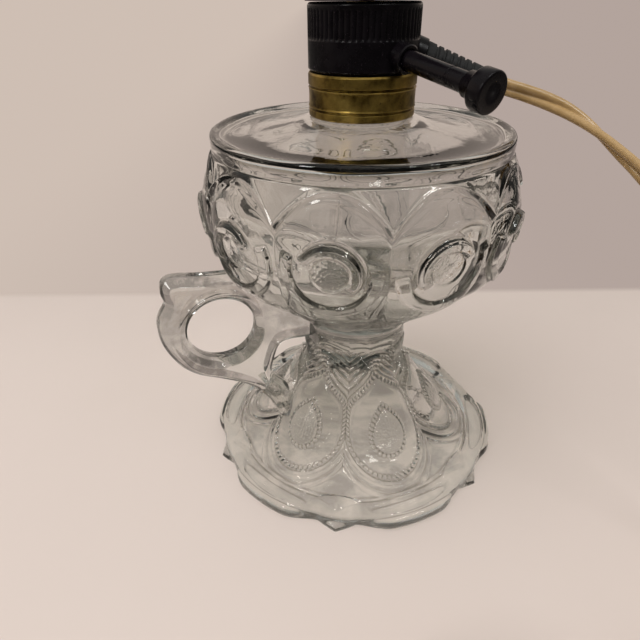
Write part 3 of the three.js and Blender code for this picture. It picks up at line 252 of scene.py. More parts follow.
def new_object(name, points, faces, finish=None):
    mesh = bpy.data.meshes.new(name)
    mesh.from_pydata(np.asarray(points).reshape(-1, 3).tolist(), [], [list(map(int, face)) for face in faces])
    mesh.update()
    mesh.polygons.foreach_set("use_smooth", [True] * len(mesh.polygons))
    obj = bpy.data.objects.new(name, mesh)
    bpy.context.scene.collection.objects.link(obj)
    if finish:
        mesh.materials.append(material(finish))
    return obj


def fix_normals(obj):
    """Turns every face of a closed mesh to point out."""
    work = bmesh.new()
    work.from_mesh(obj.data)
    bmesh.ops.recalc_face_normals(work, faces=work.faces)
    work.to_mesh(obj.data)
    work.free()


def sharpen(obj, sharp):
    """Keeps edges sharp where the faces meet at more than an angle in degrees."""
    obj.data.set_sharp_from_angle(angle=math.radians(sharp))
    return obj


def closed_rings(name, rings, finish=None, sharp=180):
    """A closed body whose rows are rings of points, with a flat cap on its first and last ring."""
    rows, columns = rings.shape[:2]
    faces = grid_faces(rows, columns).tolist()
    first, base = rows * columns, (rows - 1) * columns
    for step in range(columns):
        after = (step + 1) % columns
        faces.append([first, after, step])
        faces.append([first + 1, base + step, base + after])
    points = np.vstack([rings.reshape(-1, 3), rings[0].mean(axis=0), rings[-1].mean(axis=0)])
    obj = new_object(name, points, faces, finish)
    fix_normals(obj)
    return sharpen(obj, sharp)


def closed_loop(name, rings, finish, sharp=35):
    """A ring-shaped body: rows of points that go round a wall until the last meets the first."""
    obj = new_object(name, rings, grid_faces(*rings.shape[:2], close_rows=True), finish)
    fix_normals(obj)
    return sharpen(obj, sharp)


def turned_wall(name, profile, finish, rounding, segments=128):
    """A ring turned about the lamp's axis, from (radius, height) pairs that close on themselves."""
    table = arc_corners(profile, rounding)
    return closed_loop(name, polar(table[:, :1], full_turn(segments), table[:, 1:2]), finish)


def aim(obj, heading, origin):
    """Turns a mesh made along +Z to a direction, with its zero at a point."""
    turn = Vector((0, 0, 1)).rotation_difference(Vector(heading)).to_matrix().to_4x4()
    obj.data.transform(Matrix.Translation(Vector(origin)) @ turn)
    obj.data.update()
    return obj


def along_axis(name, profile, heading, origin, finish=None, segments=72, sharp=35):
    """A turned solid along a direction from a point."""
    table, turn = np.array(profile, float), full_turn(segments)
    radius, height = table[:, :1], table[:, 1:] + 0 * turn
    rings = np.stack([radius * np.sin(turn), -radius * np.cos(turn), height], axis=-1)
    return aim(closed_rings(name, rings, finish, sharp), heading, origin)


def applied(obj):
    """The mesh of an object with its modifiers."""
    bpy.context.view_layer.update()
    return bpy.data.meshes.new_from_object(obj.evaluated_get(bpy.context.evaluated_depsgraph_get()))


def merge(target, *others, operation="UNION"):
    """Joins the other bodies to the target, or cuts them from it, and removes them."""
    for other in others:
        modifier = target.modifiers.new("merge", "BOOLEAN")
        modifier.operation, modifier.solver, modifier.object = operation, "MANIFOLD", other
        made, old = applied(target), target.data
        if not len(made.polygons):
            raise RuntimeError(f"{target.name} is empty after its join with {other.name}")
        target.modifiers.remove(modifier)
        target.data = made
        bpy.data.meshes.remove(old)
        bpy.data.objects.remove(other)
    return target


def dress(obj, finish, sharp):
    """One finish for a merged body, smooth except at edges sharper than an angle in degrees."""
    obj.data.materials.clear()
    obj.data.materials.append(material(finish))
    obj.data.polygons.foreach_set("use_smooth", [True] * len(obj.data.polygons))
    return sharpen(obj, sharp)


# Shader nodes


def feed(tree, node, values):
    """Sets inputs of a node: a socket is linked to it, and any other value is set on it."""
    for label, value in values.items():
        if isinstance(value, bpy.types.NodeSocket):
            tree.links.new(value, node.inputs[label])
        else:
            node.inputs[label].default_value = value
    return node


def add(tree, kind, values=(), **options):
    """A new shader node with its options and inputs set."""
    node = tree.nodes.new("ShaderNode" + kind)
    for label, value in options.items():
        setattr(node, label, value)
    return feed(tree, node, dict(values))


def effect_group(name, inputs, output, kind="NodeSocketFloat"):
    """An empty node group with number inputs and one output."""
    group = bpy.data.node_groups.new(name, "ShaderNodeTree")
    for label, default in inputs.items():
        socket = group.interface.new_socket(name=label, in_out="INPUT", socket_type="NodeSocketFloat")
        socket.default_value = default
    group.interface.new_socket(name=output, in_out="OUTPUT", socket_type=kind)
    return group, group.nodes.new("NodeGroupInput").outputs, group.nodes.new("NodeGroupOutput")


def noise_in(group, size, detail, roughness=0.5):
    place = add(group, "TexCoord").outputs["Object"]
    values = {"Vector": place, "Scale": size, "Detail": detail, "Roughness": roughness}
    return add(group, "TexNoise", values).outputs["Fac"]


def patches_group():
    """Uneven patches: a value from 0 to 1 that changes over the surface."""
    group, given, made = effect_group("Uneven patches", {"Size": 120, "Low": 0.4, "High": 0.7}, "Mask")
    noise = noise_in(group, given["Size"], 6, 0.62)
    spread = add(group, "MapRange", {"Value": noise, "From Min": given["Low"], "From Max": given["High"]})
    feed(group, made, {"Mask": spread.outputs["Result"]})
    return group


def unevenness_group():
    """Fine unevenness as a normal."""
    inputs = {"Size": 900, "Depth": 0.02 * MM}
    group, given, made = effect_group("Fine unevenness", inputs, "Normal", "NodeSocketVector")
    noise = noise_in(group, given["Size"], 3)
    bump = add(group, "Bump", {"Strength": 1, "Height": noise, "Distance": given["Depth"]})
    feed(group, made, {"Normal": bump.outputs["Normal"]})
    return group


def edges_group():
    """Worn edges: 1 on ridges and 0 on flats."""
    group, given, made = effect_group("Worn edges", {"Start": 0.53, "End": 0.6}, "Mask")
    shape = add(group, "NewGeometry").outputs["Pointiness"]
    spread = add(group, "MapRange", {"Value": shape, "From Min": given["Start"], "From Max": given["End"]})
    feed(group, made, {"Mask": spread.outputs["Result"]})
    return group


GROUPS = {}


def effect(tree, name, **values):
    """The output of a shared effect, placed with its own values."""
    if not GROUPS:
        GROUPS.update(patches=patches_group(), unevenness=unevenness_group(), edges=edges_group())
    return add(tree, "Group", values, node_tree=GROUPS[name]).outputs[0]


def rgba(value):
    return value if isinstance(value, bpy.types.NodeSocket) else (*value, 1)


def dimmed(colour, share):
    return tuple(value * share for value in colour)


def mixed(tree, mask, first, second):
    """A colour between two others, by a mask; each is a colour or a socket."""
    values = {"Factor": mask, 6: rgba(first), 7: rgba(second)}
    return add(tree, "Mix", values, data_type="RGBA").outputs[2]


def ranged(tree, mask, low, high):
    return add(tree, "MapRange", {"Value": mask, "To Min": low, "To Max": high}).outputs["Result"]


def eased(tree, value, start, end):
    """A smooth step from 0 to 1 between two values, or down again where the first is the larger."""
    values = {"Value": value, "From Min": start, "From Max": end}
    return add(tree, "MapRange", values, interpolation_type="SMOOTHSTEP").outputs["Result"]


def computed(tree, operation, *values):
    return add(tree, "Math", enumerate(values), operation=operation).outputs["Value"]


def multiplied(tree, first, *others):
    for other in others:
        first = computed(tree, "MULTIPLY", first, other)
    return first


def component(tree, vector, axis):
    return add(tree, "SeparateXYZ", {"Vector": vector}).outputs[axis]


def away_from_axis(tree, place):
    """Distance of a place from the lamp's upright axis."""
    flat = add(tree, "VectorMath", {0: place, 1: (1, 1, 0)}, operation="MULTIPLY").outputs["Vector"]
    axis = (AXIS.x, AXIS.y, 0)
    return add(tree, "VectorMath", {0: flat, 1: axis}, operation="DISTANCE").outputs["Value"]


def show(tree, mask, first, second):
    """Makes the surface of a material from two shaders, by a mask."""
    choice = add(tree, "MixShader", {"Fac": mask, 1: first, 2: second})
    feed(tree, tree.nodes["Material Output"], {"Surface": choice.outputs["Shader"]})


# Finishes


def new_material(name):
    made = bpy.data.materials.new(name)
    made.use_nodes = True
    return made, made.node_tree, made.node_tree.nodes["Principled BSDF"]


def foot_edge(tree, height, away):
    """1 on the upright edge of the foot, which is rubbed dull, and 0 elsewhere."""
    above_table = eased(tree, height, 0.1 * MM, 0.5 * MM)
    below_rim = eased(tree, height, 4.7 * MM, 3.4 * MM)
    return multiplied(tree, eased(tree, away, 55 * MM, 56.5 * MM), above_table, below_rim)


def handle_sides(tree, place, height, away):
    """1 on the bevels and the narrow sides of the handle, where painted shade darkens the glass, and 0 on its
    flat faces and elsewhere.
    """
    facing = component(tree, add(tree, "NewGeometry").outputs["Normal"], "Y")
    sideways = computed(tree, "ABSOLUTE", component(tree, place, "Y"))
    bowl = computed(tree, "SUBTRACT", height, computed(tree, "MULTIPLY", away, 0.9))
    return multiplied(
        tree,
        eased(tree, computed(tree, "ABSOLUTE", facing), 0.93, 0.75),
        eased(tree, sideways, 5.6 * MM, 5.1 * MM),
        eased(tree, height, 38 * MM, 41 * MM),
        eased(tree, bowl, 39 * MM, 36 * MM),
    )


def glass_material(chosen):
    """Clear pressed glass: grey in its thick places, with settled dirt and painted shade in its crevices,
    painted shade on the handle's bevels and the bowl's floor, and dull where it is rubbed.
    """
    made, tree, shader = new_material("clear pressed glass")
    place = add(tree, "TexCoord").outputs["Object"]
    height, away = component(tree, place, "Z"), away_from_axis(tree, place)
    haze = effect(tree, "patches", Size=70, Low=0.35, High=0.85)
    # Swirls that break up the painted shade
    shade_swirls = effect(tree, "patches", Size=105, Low=0.43, High=0.55)
    # Crevices take the crevice colour: settled dirt, and painted shade for the dark outlines that refraction
    # draws round the relief
    crevices = effect(tree, "edges", Start=0.492, End=0.455)
    rubbed = foot_edge(tree, height, away)
    # Painted shade: the handle's bevels and narrow sides darkened in swirls
    handle_shade = multiplied(tree, handle_sides(tree, place, height, away), ranged(tree, shade_swirls, 0.3, 1))
    # Painted shade: the thick floor of the bowl darkened in swirls
    bowl_floor_shade = (eased(tree, height, 86 * MM, 72 * MM), eased(tree, height, 53 * MM, 58 * MM))
    colour = mixed(tree, haze, chosen.tint, dimmed(chosen.tint, 0.97))
    colour = mixed(tree, crevices, colour, chosen.crevice_dirt_and_shade)
    for mask, share in ((rubbed, 0.5), (handle_shade, 0.24), (multiplied(tree, *bowl_floor_shade, shade_swirls), 0.6)):
        colour = mixed(tree, mask, colour, dimmed(chosen.tint, share))
    feed(tree, shader, {
        "Base Color": colour,
        "Roughness": mixed(tree, rubbed, ranged(tree, haze, 0.012, 0.03), (0.16, 0.16, 0.16)),
        "Normal": effect(tree, "unevenness", Size=160, Depth=0.04 * MM),
        "IOR": chosen.ior,
        "Transmission Weight": 1,
    })
    shadow = add(tree, "BsdfTransparent", {"Color": rgba(dimmed(chosen.tint, 0.95))}).outputs["BSDF"]
    show(tree, add(tree, "LightPath").outputs["Is Shadow Ray"], shader.outputs["BSDF"], shadow)
    depth = add(tree, "VolumeAbsorption", {"Color": rgba(chosen.body), "Density": 28}).outputs["Volume"]
    feed(tree, tree.nodes["Material Output"], {"Volume": depth})
    return made


def brass_material(name, tarnished, worn, tarnish, metal_rough=0.28):
    made, tree, shader = new_material(name)
    patches = effect(tree, "patches", Size=150, Low=0.5 - tarnish / 2, High=0.95 - tarnish / 2)
    specks = effect(tree, "patches", Size=1500, Low=0.62, High=0.72)
    colour = mixed(tree, patches, worn, tarnished)
    colour = mixed(tree, specks, colour, dimmed(tarnished, 0.25))
    feed(tree, shader, {
        "Base Color": mixed(tree, effect(tree, "edges", Start=0.508, End=0.545), colour, worn),
        "Metallic": 1,
        "Roughness": ranged(tree, patches, metal_rough, 0.5),
        "Normal": effect(tree, "unevenness", Size=700, Depth=0.03 * MM),
    })
    return made


def plastic_material(name, colour, gloss=(0.22, 0.42), grain=0.02 * MM, dust=(0.06, 0.055, 0.05)):
    made, tree, shader = new_material(name)
    patches = effect(tree, "patches", Size=180, Low=0.4, High=0.75)
    edges = effect(tree, "edges", Start=0.52, End=0.6)
    settled = effect(tree, "patches", Size=600, Low=0.6, High=0.8)
    lighter = tuple(min(1, value * 1.4 + 0.001) for value in colour)
    shade = mixed(tree, patches, colour, lighter)
    shade = mixed(tree, ranged(tree, settled, 0, 0.05), shade, dust)
    feed(tree, shader, {
        "Base Color": mixed(tree, ranged(tree, edges, 0, 0.4), shade, lighter),
        "Roughness": ranged(tree, patches, *gloss),
        "Specular IOR Level": 0.18,
        "Normal": effect(tree, "unevenness", Size=1400, Depth=grain),
    })
    return made


def lead_material(colour):
    """Gold-tan vinyl under a thin clear coat."""
    made, tree, shader = new_material("gold-tan lead vinyl")
    patches = effect(tree, "patches", Size=90, Low=0.35, High=0.7)
    pale = tuple(min(1, value * 1.3 + 0.03) for value in colour)
    feed(tree, shader, {
        "Base Color": mixed(tree, patches, colour, pale),
        "Roughness": ranged(tree, patches, 0.2, 0.36),
        "Coat Weight": 0.25,
        "Coat Roughness": 0.2,
        "Normal": effect(tree, "unevenness", Size=150, Depth=0.02 * MM),
    })
    return made


def cement_material():
    made, tree, shader = new_material("old plaster cement")
    patches = effect(tree, "patches", Size=350, Low=0.35, High=0.7)
    feed(tree, shader, {
        "Base Color": mixed(tree, patches, (0.55, 0.5, 0.41), (0.33, 0.29, 0.22)),
        "Roughness": 0.9,
        "Normal": effect(tree, "unevenness", Size=900, Depth=0.2 * MM),
    })
    return made


MATERIALS = {}


def material(name):
    """The object's finishes, each made once."""
    if not MATERIALS:
        metal, phenolic, lead = settings("metal"), settings("adapter").phenolic, settings("lead")
        MATERIALS.update(
            glass=glass_material(settings("glass")),
            aged_brass=brass_material("aged collar brass", metal.aged_brass, metal.worn_brass, 0.62),
            bright_brass=brass_material("stamped brass", (0.42, 0.28, 0.09), (0.8, 0.63, 0.3), 0.35, 0.22),
            steel=brass_material("plated steel", (0.3, 0.29, 0.27), metal.steel, 0.3, 0.25),
            phenolic=plastic_material("black phenolic", phenolic),
            rubber=plastic_material("black rubber", (0.02, 0.02, 0.02), (0.5, 0.75), 0.05 * MM),
            tie=plastic_material("paper tie", (0.018, 0.018, 0.018), (0.6, 0.8), 0.06 * MM),
            plug=plastic_material(
                "brown plug vinyl", lead.plug_vinyl, (0.3, 0.5), 0.04 * MM, (0.2, 0.15, 0.1)
            ),
            lead=lead_material(lead.vinyl),
            cement=cement_material(),
        )
    return MATERIALS[name]


def finish_node(finish, *names):
    """Carried-over pieces of the frame get their finish, and keep their own smooth and sharp edges."""
    for name in names:
        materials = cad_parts[name].data.materials
        materials.clear()
        materials.append(material(finish))


# Camera


def make_camera():
    forward = Vector(direction(math.pi - CAMERA_YAW, CAMERA_PITCH))
    level = Vector((math.cos(CAMERA_YAW), -math.sin(CAMERA_YAW), 0))
    upward = level.cross(forward)
    right = level * math.cos(CAMERA_ROLL) + upward * math.sin(CAMERA_ROLL)
    top = upward * math.cos(CAMERA_ROLL) - level * math.sin(CAMERA_ROLL)
    data = bpy.data.cameras.new("photo camera")
    data.lens, data.sensor_width, data.clip_start = CAMERA_LENS, 36, 5 * MM
    camera = bpy.data.objects.new("photo camera", data)
    turn = Matrix((right, top, -forward)).transposed().to_4x4()
    camera.matrix_world = Matrix.Translation(Vector((AXIS.x, AXIS.y, 0)) + Vector(CAMERA_PLACE)) @ turn
    bpy.context.scene.collection.objects.link(camera)
    bpy.context.scene.camera = camera


# Mains lead

CORD_TURN = math.radians(68.5)
CORD_DROOP = math.radians(19.6)
CORD_DIRECTION = direction(CORD_TURN, CORD_DROOP)
CORD_EXIT_HEIGHT = 4.44 * MM
CORD_CROSSING = crossing(CORD_EXIT_HEIGHT, CORD_DROOP)
CORD_WALL = HOUSING_RADIUS / math.cos(CORD_DROOP)
RELIEF_TIP = CORD_WALL + 23.9 * MM

# Route of the free lead after its strain relief, in millimetres from the axis of the lamp
CORD_ROUTE = [
    (42.9, -17.5, 142.1), (48.2, -20.7, 140.4), (53.2, -24.4, 138.5), (57.8, -28.8, 136.1),
    (61.7, -33.5, 133.1), (65.2, -38.8, 129.3), (68.1, -44.5, 125.2), (70.8, -51, 120.7),
    (73.1, -57.6, 115.2), (75, -64.2, 108), (76.8, -70.6, 99.2), (78.4, -76.8, 88.6), (79.8, -82.8, 76.2),
    (81, -88.6, 62.3), (82, -94.2, 47.8), (82.7, -99.8, 33.8), (83, -105.8, 21), (82.9, -113, 11.2),
    (82.3, -121.5, 5.4), (81, -130.5, 3.1), (78.5, -139.5, 2.6), (74.5, -147.8, 2.6), (69, -155, 2.6),
    (62, -160.4, 2.6), (53.5, -164.2, 2.6), (44, -166.8, 2.6), (33, -168.6, 2.6), (21, -169.9, 2.6),
    (8, -170.9, 2.6), (-6, -171.8, 2.7), (-20, -172.9, 3),
]
# Tail from the end of the coil to the plug, in millimetres from that end
TAIL_ROUTE = [
    (6.1, -4.9, -0.8), (11.6, -9.2, -3.2), (17.2, -12.8, -6.9), (23, -15.8, -10.4), (28.6, -18, -12.9),
    (33.8, -19.4, -14), (38.3, -20, -14.25),
]
COIL_CENTRE = Vector((AXIS.x - 40.6 * MM, AXIS.y - 141.4 * MM, 0))
COIL_INNER_RADIUS = 20.8 * MM
COIL_PITCH = 5.75 * MM
COIL_LIFT = 0.9 * MM
COIL_LAYERS = 4
COIL_TURNS = 8.625
LAYER_TURNS = COIL_TURNS / COIL_LAYERS
COIL_START = math.radians(-85)
COIL_CLIMB_SHARE = 0.25
COIL_STEPS = 48
FREE_POINTS, TAIL_POINTS = 320, 70
# How broad side and narrow side of the lead turn on its way
TWIST_START, TWIST_END = 6.5 * MM, 60.5 * MM
TWIST_AT_EXIT = math.radians(75)
TWIST_SLACK, SLACK_START, SLACK_END = math.radians(15), 120 * MM, 220 * MM
WEB_ANGLE = math.radians(152)
STRAND_POINTS = 17


def coil_points(diameter):
    """The coil spirals in and out by turns, and climbs a layer in each half turn where it reverses."""
    turns = np.arange(0, COIL_TURNS * COIL_STEPS + 1) / COIL_STEPS
    layer = np.minimum(turns // LAYER_TURNS, COIL_LAYERS - 1)
    wound = turns - layer * LAYER_TURNS
    radius = COIL_INNER_RADIUS + COIL_PITCH * np.where(layer % 2, wound, LAYER_TURNS - wound)
    middles = np.arange(1, COIL_LAYERS)[:, None] * LAYER_TURNS
    climb = smoothstep(turns, middles - COIL_CLIMB_SHARE, middles + COIL_CLIMB_SHARE).sum(axis=0) * COIL_PITCH
    angle = COIL_START - turns * 2 * math.pi
    flat = [COIL_CENTRE.x + radius * np.cos(angle), COIL_CENTRE.y + radius * np.sin(angle)]
    return np.stack([*flat, diameter / 2 + COIL_LIFT + climb], axis=-1)


def lead_route(diameter):
    """The whole route of the lead: free stretch, coil and tail."""
    tip = CORD_CROSSING + Vector(CORD_DIRECTION) * (RELIEF_TIP + CLEARANCE)
    coil = coil_points(diameter)
    into, onward = (
        np.array([math.sin(angle), -math.cos(angle), 0]) * diameter
        for angle in (COIL_START, COIL_START - COIL_TURNS * 2 * math.pi)
    )
    end = coil[-1] + onward
    free = np.vstack([tuple(tip), np.array(CORD_ROUTE) * MM + [AXIS.x, AXIS.y, 0], coil[0] - into, coil[0]])
    tail = np.vstack([coil[-1], end, np.array(TAIL_ROUTE) * MM + end])
    return np.vstack([rounded_line(free, FREE_POINTS)[:-1], coil[:-1], rounded_line(tail, TAIL_POINTS)])


def lead_rings(route, diameter):
    """Two round strands side by side, turned about the route: broad side out, half a twist, then on edge."""
    along = np.gradient(route, axis=0)
    along /= np.linalg.norm(along, axis=1)[:, None]
    side = np.cross(along, [0, 0, 1])
    side /= np.linalg.norm(side, axis=1)[:, None]
    top = np.cross(side, along)
    reach = reach_along(route)
    twist = TWIST_AT_EXIT + math.pi * smoothstep(reach, TWIST_START, TWIST_END)
    twist = twist - TWIST_SLACK * smoothstep(reach, SLACK_START, SLACK_END)
    strand = diameter / 4
    angles = np.linspace(-WEB_ANGLE, WEB_ANGLE, STRAND_POINTS)
    corners = [(strand + strand * math.cos(step), strand * math.sin(step)) for step in angles]
    corners += [(-wide, -tall) for wide, tall in corners]
    rings = []
    for wide, tall in corners:
        across = wide * np.cos(twist) - tall * np.sin(twist)
        above = wide * np.sin(twist) + tall * np.cos(twist)
        rings.append(route + side * across[:, None] + top * above[:, None])
    return np.stack(rings, axis=1)


def make_lead():
    diameter = settings("lead").diameter
    route = lead_route(diameter)
    lead = closed_rings("mains_lead", lead_rings(route, diameter), "lead", 60)
    relief, tie, plug = make_relief(), make_tie(), make_plug()
    finish_node("bright_brass", "plug_blade_left", "plug_blade_right")
    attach(lead, "root")
    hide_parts("cord_free", "cord_coil", "cord_tail")


RELIEF_GROOVES = 6
RELIEF_GROOVE = ((0, 0), (0.01, 0.55), (0.045, 0.55), (0.055, 0))


def make_relief():
    """Tapered strain relief with flexing grooves."""
    seat = CORD_WALL + 1.7 * MM
    inner = (HOUSING_RADIUS - HOUSING_WALL) / math.cos(CORD_DROOP)
    length = RELIEF_TIP - seat
    profile = scaled((0, 0), (3.3, 0), base=inner) + scaled((3.35, -0.1), (4.0, 0), (4.2, 0.4), base=seat)
    for groove in range(RELIEF_GROOVES):
        for share, sink in RELIEF_GROOVE:
            place = 0.12 + 0.11 * groove + share
            profile.append(((4.2 - place - sink) * MM, seat + place * length))
    profile += scaled((3.25, 0), base=seat + 0.93 * length) + scaled((3.0, -0.1), (0, 0), base=RELIEF_TIP)
    relief = along_axis("strain_relief", profile, CORD_DIRECTION, CORD_CROSSING, "rubber", 48, 30)
    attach(relief, "root")
    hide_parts("cord_relief")
    return relief


TIE_TURN = math.radians(200)
TIE_SLACK = 3.2 * MM
TIE_THICKNESS = 0.45 * MM
TIE_HALF_WIDTH = 3.3 * MM


def make_tie():
    """Flat band round all the turns, a little slack between them."""
    inner = COIL_INNER_RADIUS - TIE_SLACK
    outer = COIL_INNER_RADIUS + COIL_PITCH * LAYER_TURNS + TIE_SLACK
    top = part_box("coil_tie")[1].z
    rows = []
    for inset, rounding, sides in ((0, 2.2 * MM, (-1, 1)), (TIE_THICKNESS, 1.8 * MM, (1, -1))):
        near, far, base, lid = inner + inset, outer - inset, inset, top - inset
        points = arc_corners([(near, base), (far, base), (far, lid), (near, lid)], rounding, 6)
        for side in sides:
            across = np.full(len(points), side * TIE_HALF_WIDTH)
            rows.append(np.column_stack([points[:, 0], across, points[:, 1]]))
    tie = closed_loop("lead_tie", np.stack(rows), "tie", 40)
    tie.data.transform(Matrix.Translation(COIL_CENTRE) @ Matrix.Rotation(TIE_TURN, 4, "Z"))
    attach(tie, "root")
    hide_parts("coil_tie")
    return tie


PLUG_LENGTH, PLUG_HEIGHT = 26 * MM, 13 * MM
PLUG_NOSE = 1.2 * MM
PLUG_ROWS, PLUG_COLUMNS = 60, 64
PLUG_SQUARENESS = 0.42
RIDGE_START, RIDGE_END, RIDGE_PITCH, RIDGE_DEPTH = 11 * MM, 21 * MM, 2.4 * MM, 0.35 * MM


def plug_ring(distance):
    """One ring of the plug: it widens from the lead, has finger ridges, and is rounded at its face."""
    half_width = (4.5 + 7.4 * float(smoothstep(distance, 0.5 * MM, 10 * MM))) * MM
    half_height = (4.2 + 2.2 * float(smoothstep(distance, 0, 6 * MM))) * MM
    into_nose = distance - PLUG_LENGTH + PLUG_NOSE
    if into_nose > 0:
        inset = PLUG_NOSE - math.sqrt(max(PLUG_NOSE**2 - into_nose**2, 0))
        half_width, half_height = half_width - inset, half_height - inset
    ridge = 0
    if RIDGE_START < distance < RIDGE_END:
        ridge = RIDGE_DEPTH * max(0.0, math.sin(2 * math.pi * (distance - RIDGE_START) / RIDGE_PITCH))
    angle = 2 * math.pi * (np.arange(PLUG_COLUMNS) + 0.5) / PLUG_COLUMNS
    wide, tall = (
        np.sign(part) * np.abs(part) ** PLUG_SQUARENESS * half
        for part, half in ((np.cos(angle), half_width), (np.sin(angle), half_height))
    )
    wide = wide - np.sign(wide) * ridge * (np.abs(np.cos(angle)) > 0.75)
    return np.column_stack([wide, np.full(PLUG_COLUMNS, distance), tall])


def make_plug():
    """Moulded two-blade plug with finger ridges on its sides."""
    low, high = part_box("plug_body")
    centre = (low + high) / 2
    corners = [*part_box("plug_blade_left"), *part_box("plug_blade_right")]
    middle = sum(corners, Vector()) / len(corners)
    heading = Vector((middle.x - centre.x, middle.y - centre.y, 0)).normalized()
    points = [vertex.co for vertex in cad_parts["plug_body"].data.vertices]
    back = min((point - centre).dot(heading) for point in points)
    rings = np.array([plug_ring(distance) for distance in np.linspace(0, PLUG_LENGTH, PLUG_ROWS)])
    plug = closed_rings("moulded_plug", rings, "plug", 50)
    start = centre + heading * back
    start.z = PLUG_HEIGHT / 2
    turn = -math.atan2(heading.x, heading.y)
    plug.data.transform(Matrix.Translation(start) @ Matrix.Rotation(turn, 4, "Z"))
    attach(plug, "root")
    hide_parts("plug_body")
    return plug


# Glass: outlines of the walls, in millimetres from the axis of the lamp and from the table

DROP_COUNT = 6
HALF_DROP = math.pi / DROP_COUNT
DROP_EDGE_POWER = 2.6
FOOT_COLUMNS = 960
FOOT_ROWS = 230
FOOT_RADIUS = 61 * MM
DROP_TIP_HEIGHT = 41 * MM
# Where the outline of the foot dips between the middle of a drop and the tab at its seam
NOTCH_SHARE, TAB_SHARE = 0.3, 0.76
NOTCH_DEPTH = 3.0 * MM
DROP_LINE = [
    (19.9, 56.6), (19.9, 47), (19.6, 44.5), (20, 41), (24, 36), (27.8, 30.3), (33, 22.5), (38.2, 14.1),
    (43.7, 7.5), (49.3, 4.0), (52, 4.9), (56.6, 5.7), (59.8, 5.2), (60.9, 3.6), (61, 1.4), (60.3, 0),
]
SEAM_LINE = [
    (19.9, 56.6), (19.6, 47), (18.6, 44.5), (18, 41), (20.5, 36), (24, 30.3), (28.5, 22.5), (33.5, 14.5),
    (40, 8.5), (47.6, 4.9), (51.6, 5.2), (55, 6.0), (57.4, 4.3), (59.2, 2.4), (60.6, 0.9), (60.9, 0),
]
HOLLOW_LINE = [(0, 40), (13, 38), (17, 33), (25, 20), (36, 8), (44, 3.5), (53, 0)]
HOLLOW_BELOW = [(53, -2), (0, -2)]


def pear(tip, centre, radius, power, steps):
    """Half of a drop from its tip down: distance along it, and half of its width."""
    down = np.linspace(0, 1, steps[0])
    upper = np.stack([tip + down * (centre - tip), radius * np.sin(down * math.pi / 2) ** power], axis=-1)
    angle = np.linspace(0, math.pi / 2, steps[1])[1:]
    return np.vstack([upper, np.stack([centre + radius * np.sin(angle), radius * np.cos(angle)], axis=-1)])


def drop_outline(seam_half):
    """Row of beads round a drop, kept clear of the seams beside it by a soft limit."""
    line = pear(0, 22.6 * MM, 18.7 * MM, 1.25, (60, 40))
    room, blend = seam_half(line[:, 0]) - 0.6 * MM, 1.1 * MM
    line[:, 1] = np.maximum(-blend * np.log(np.exp(-line[:, 1] / blend) + np.exp(-room / blend)), 0)
    return line


def jewel_outline():
    """Row of beads round the small drop in the middle of each big one."""
    return pear(12.5 * MM, 25.6 * MM, 7.4 * MM, 0.85, (40, 30))


def nearest(line, along, across, width):
    """Distance of every grid point to a row of beads and to its line, which is negative inside it."""
    count = max(3, int(round(reach_along(line)[-1] / width)))
    to_bead, to_line = np.full(along.shape, 1.0), np.full(along.shape, 1.0)
    for points, distance in ((even_points(line, count), to_bead), (even_points(line, 160), to_line)):
        for point_along, point_across in points:
            np.minimum(distance, np.hypot(along - point_along, across - point_across), out=distance)
    half = np.interp(along, line[:, 0], line[:, 1], left=-1, right=-1)
    return to_bead, np.where((across < half) & (half > 0), -to_line, to_line)


def beads(to_bead, size, rise):
    return rise * np.sqrt(np.clip(1 - (to_bead / (size * 0.5)) ** 2, 0, 1))


def foot_relief(along, radius, across, seam_half, chosen):
    """Depth of the pattern on one half of a drop: along it from its tip, and across it from its middle."""
    bead = chosen.bead_size
    to_bead, to_row = nearest(drop_outline(seam_half), along, across, bead * 1.08)
    relief = beads(to_bead, bead, 1.1 * MM)
    relief -= 0.35 * MM * hump(to_row - bead * 0.9, 0.5 * MM) + 0.1 * MM * hump(to_row + bead * 0.9, 0.5 * MM)

    # The jewel: a dome with a stippled ground inside its own row of beads
    to_bead, to_jewel = nearest(jewel_outline(), along, across, bead * 1.05)
    relief += beads(to_bead, bead, 0.8 * MM)
    ground = smoothstep(-to_jewel, 0.5 * MM, 1.2 * MM)
    relief += (2.7 * MM * np.sqrt(np.clip(-to_jewel / (7 * MM), 0, 1)) - 0.5 * MM) * ground
    relief += ground * chosen.stipple * 1.6 * stipple_field(along, across + 0.03, 1.0 * MM, 5)

    # Ribs that follow the drop above its middle, and two ridges below it
    ribs = np.cos(2 * math.pi * (to_row - 1.9 * MM) / (2.1 * MM)) * smoothstep(23 * MM - along, 0, 6 * MM)
    outside = smoothstep(to_row, 1.0 * MM, 2.2 * MM)
    relief += 0.6 * MM * ribs * outside * smoothstep(along, -15 * MM, -11 * MM)
    below = smoothstep(along, 30 * MM, 36 * MM)
    relief += 1.0 * MM * hump(to_row - 4.2 * MM, 0.9 * MM) * below
    relief += 0.7 * MM * hump(to_row - 7.4 * MM, 0.8 * MM) * below * smoothstep(across, 2 * MM, 8 * MM)

    # The rim: a ridge inside it, an oval dish below each drop, a groove, and a facet at the seam
    relief += 0.8 * MM * hump(radius - 49.6 * MM, 0.7 * MM)
    oval = 1 - (across / (19.5 * MM)) ** 2 - ((radius - 54.8 * MM) / (3.5 * MM)) ** 2
    relief -= 1.5 * MM * smoothstep(oval, 0, 0.35) + 0.6 * MM * hump(radius - 59 * MM, 0.55 * MM)
    from_seam = seam_half(along) - across
    facet = np.clip(1 - from_seam / (10 * MM) - (radius - 50 * MM) / (6 * MM), 0, 1) * (radius > 50 * MM)
    return relief + 1.1 * MM * np.minimum(facet * 3, 1)


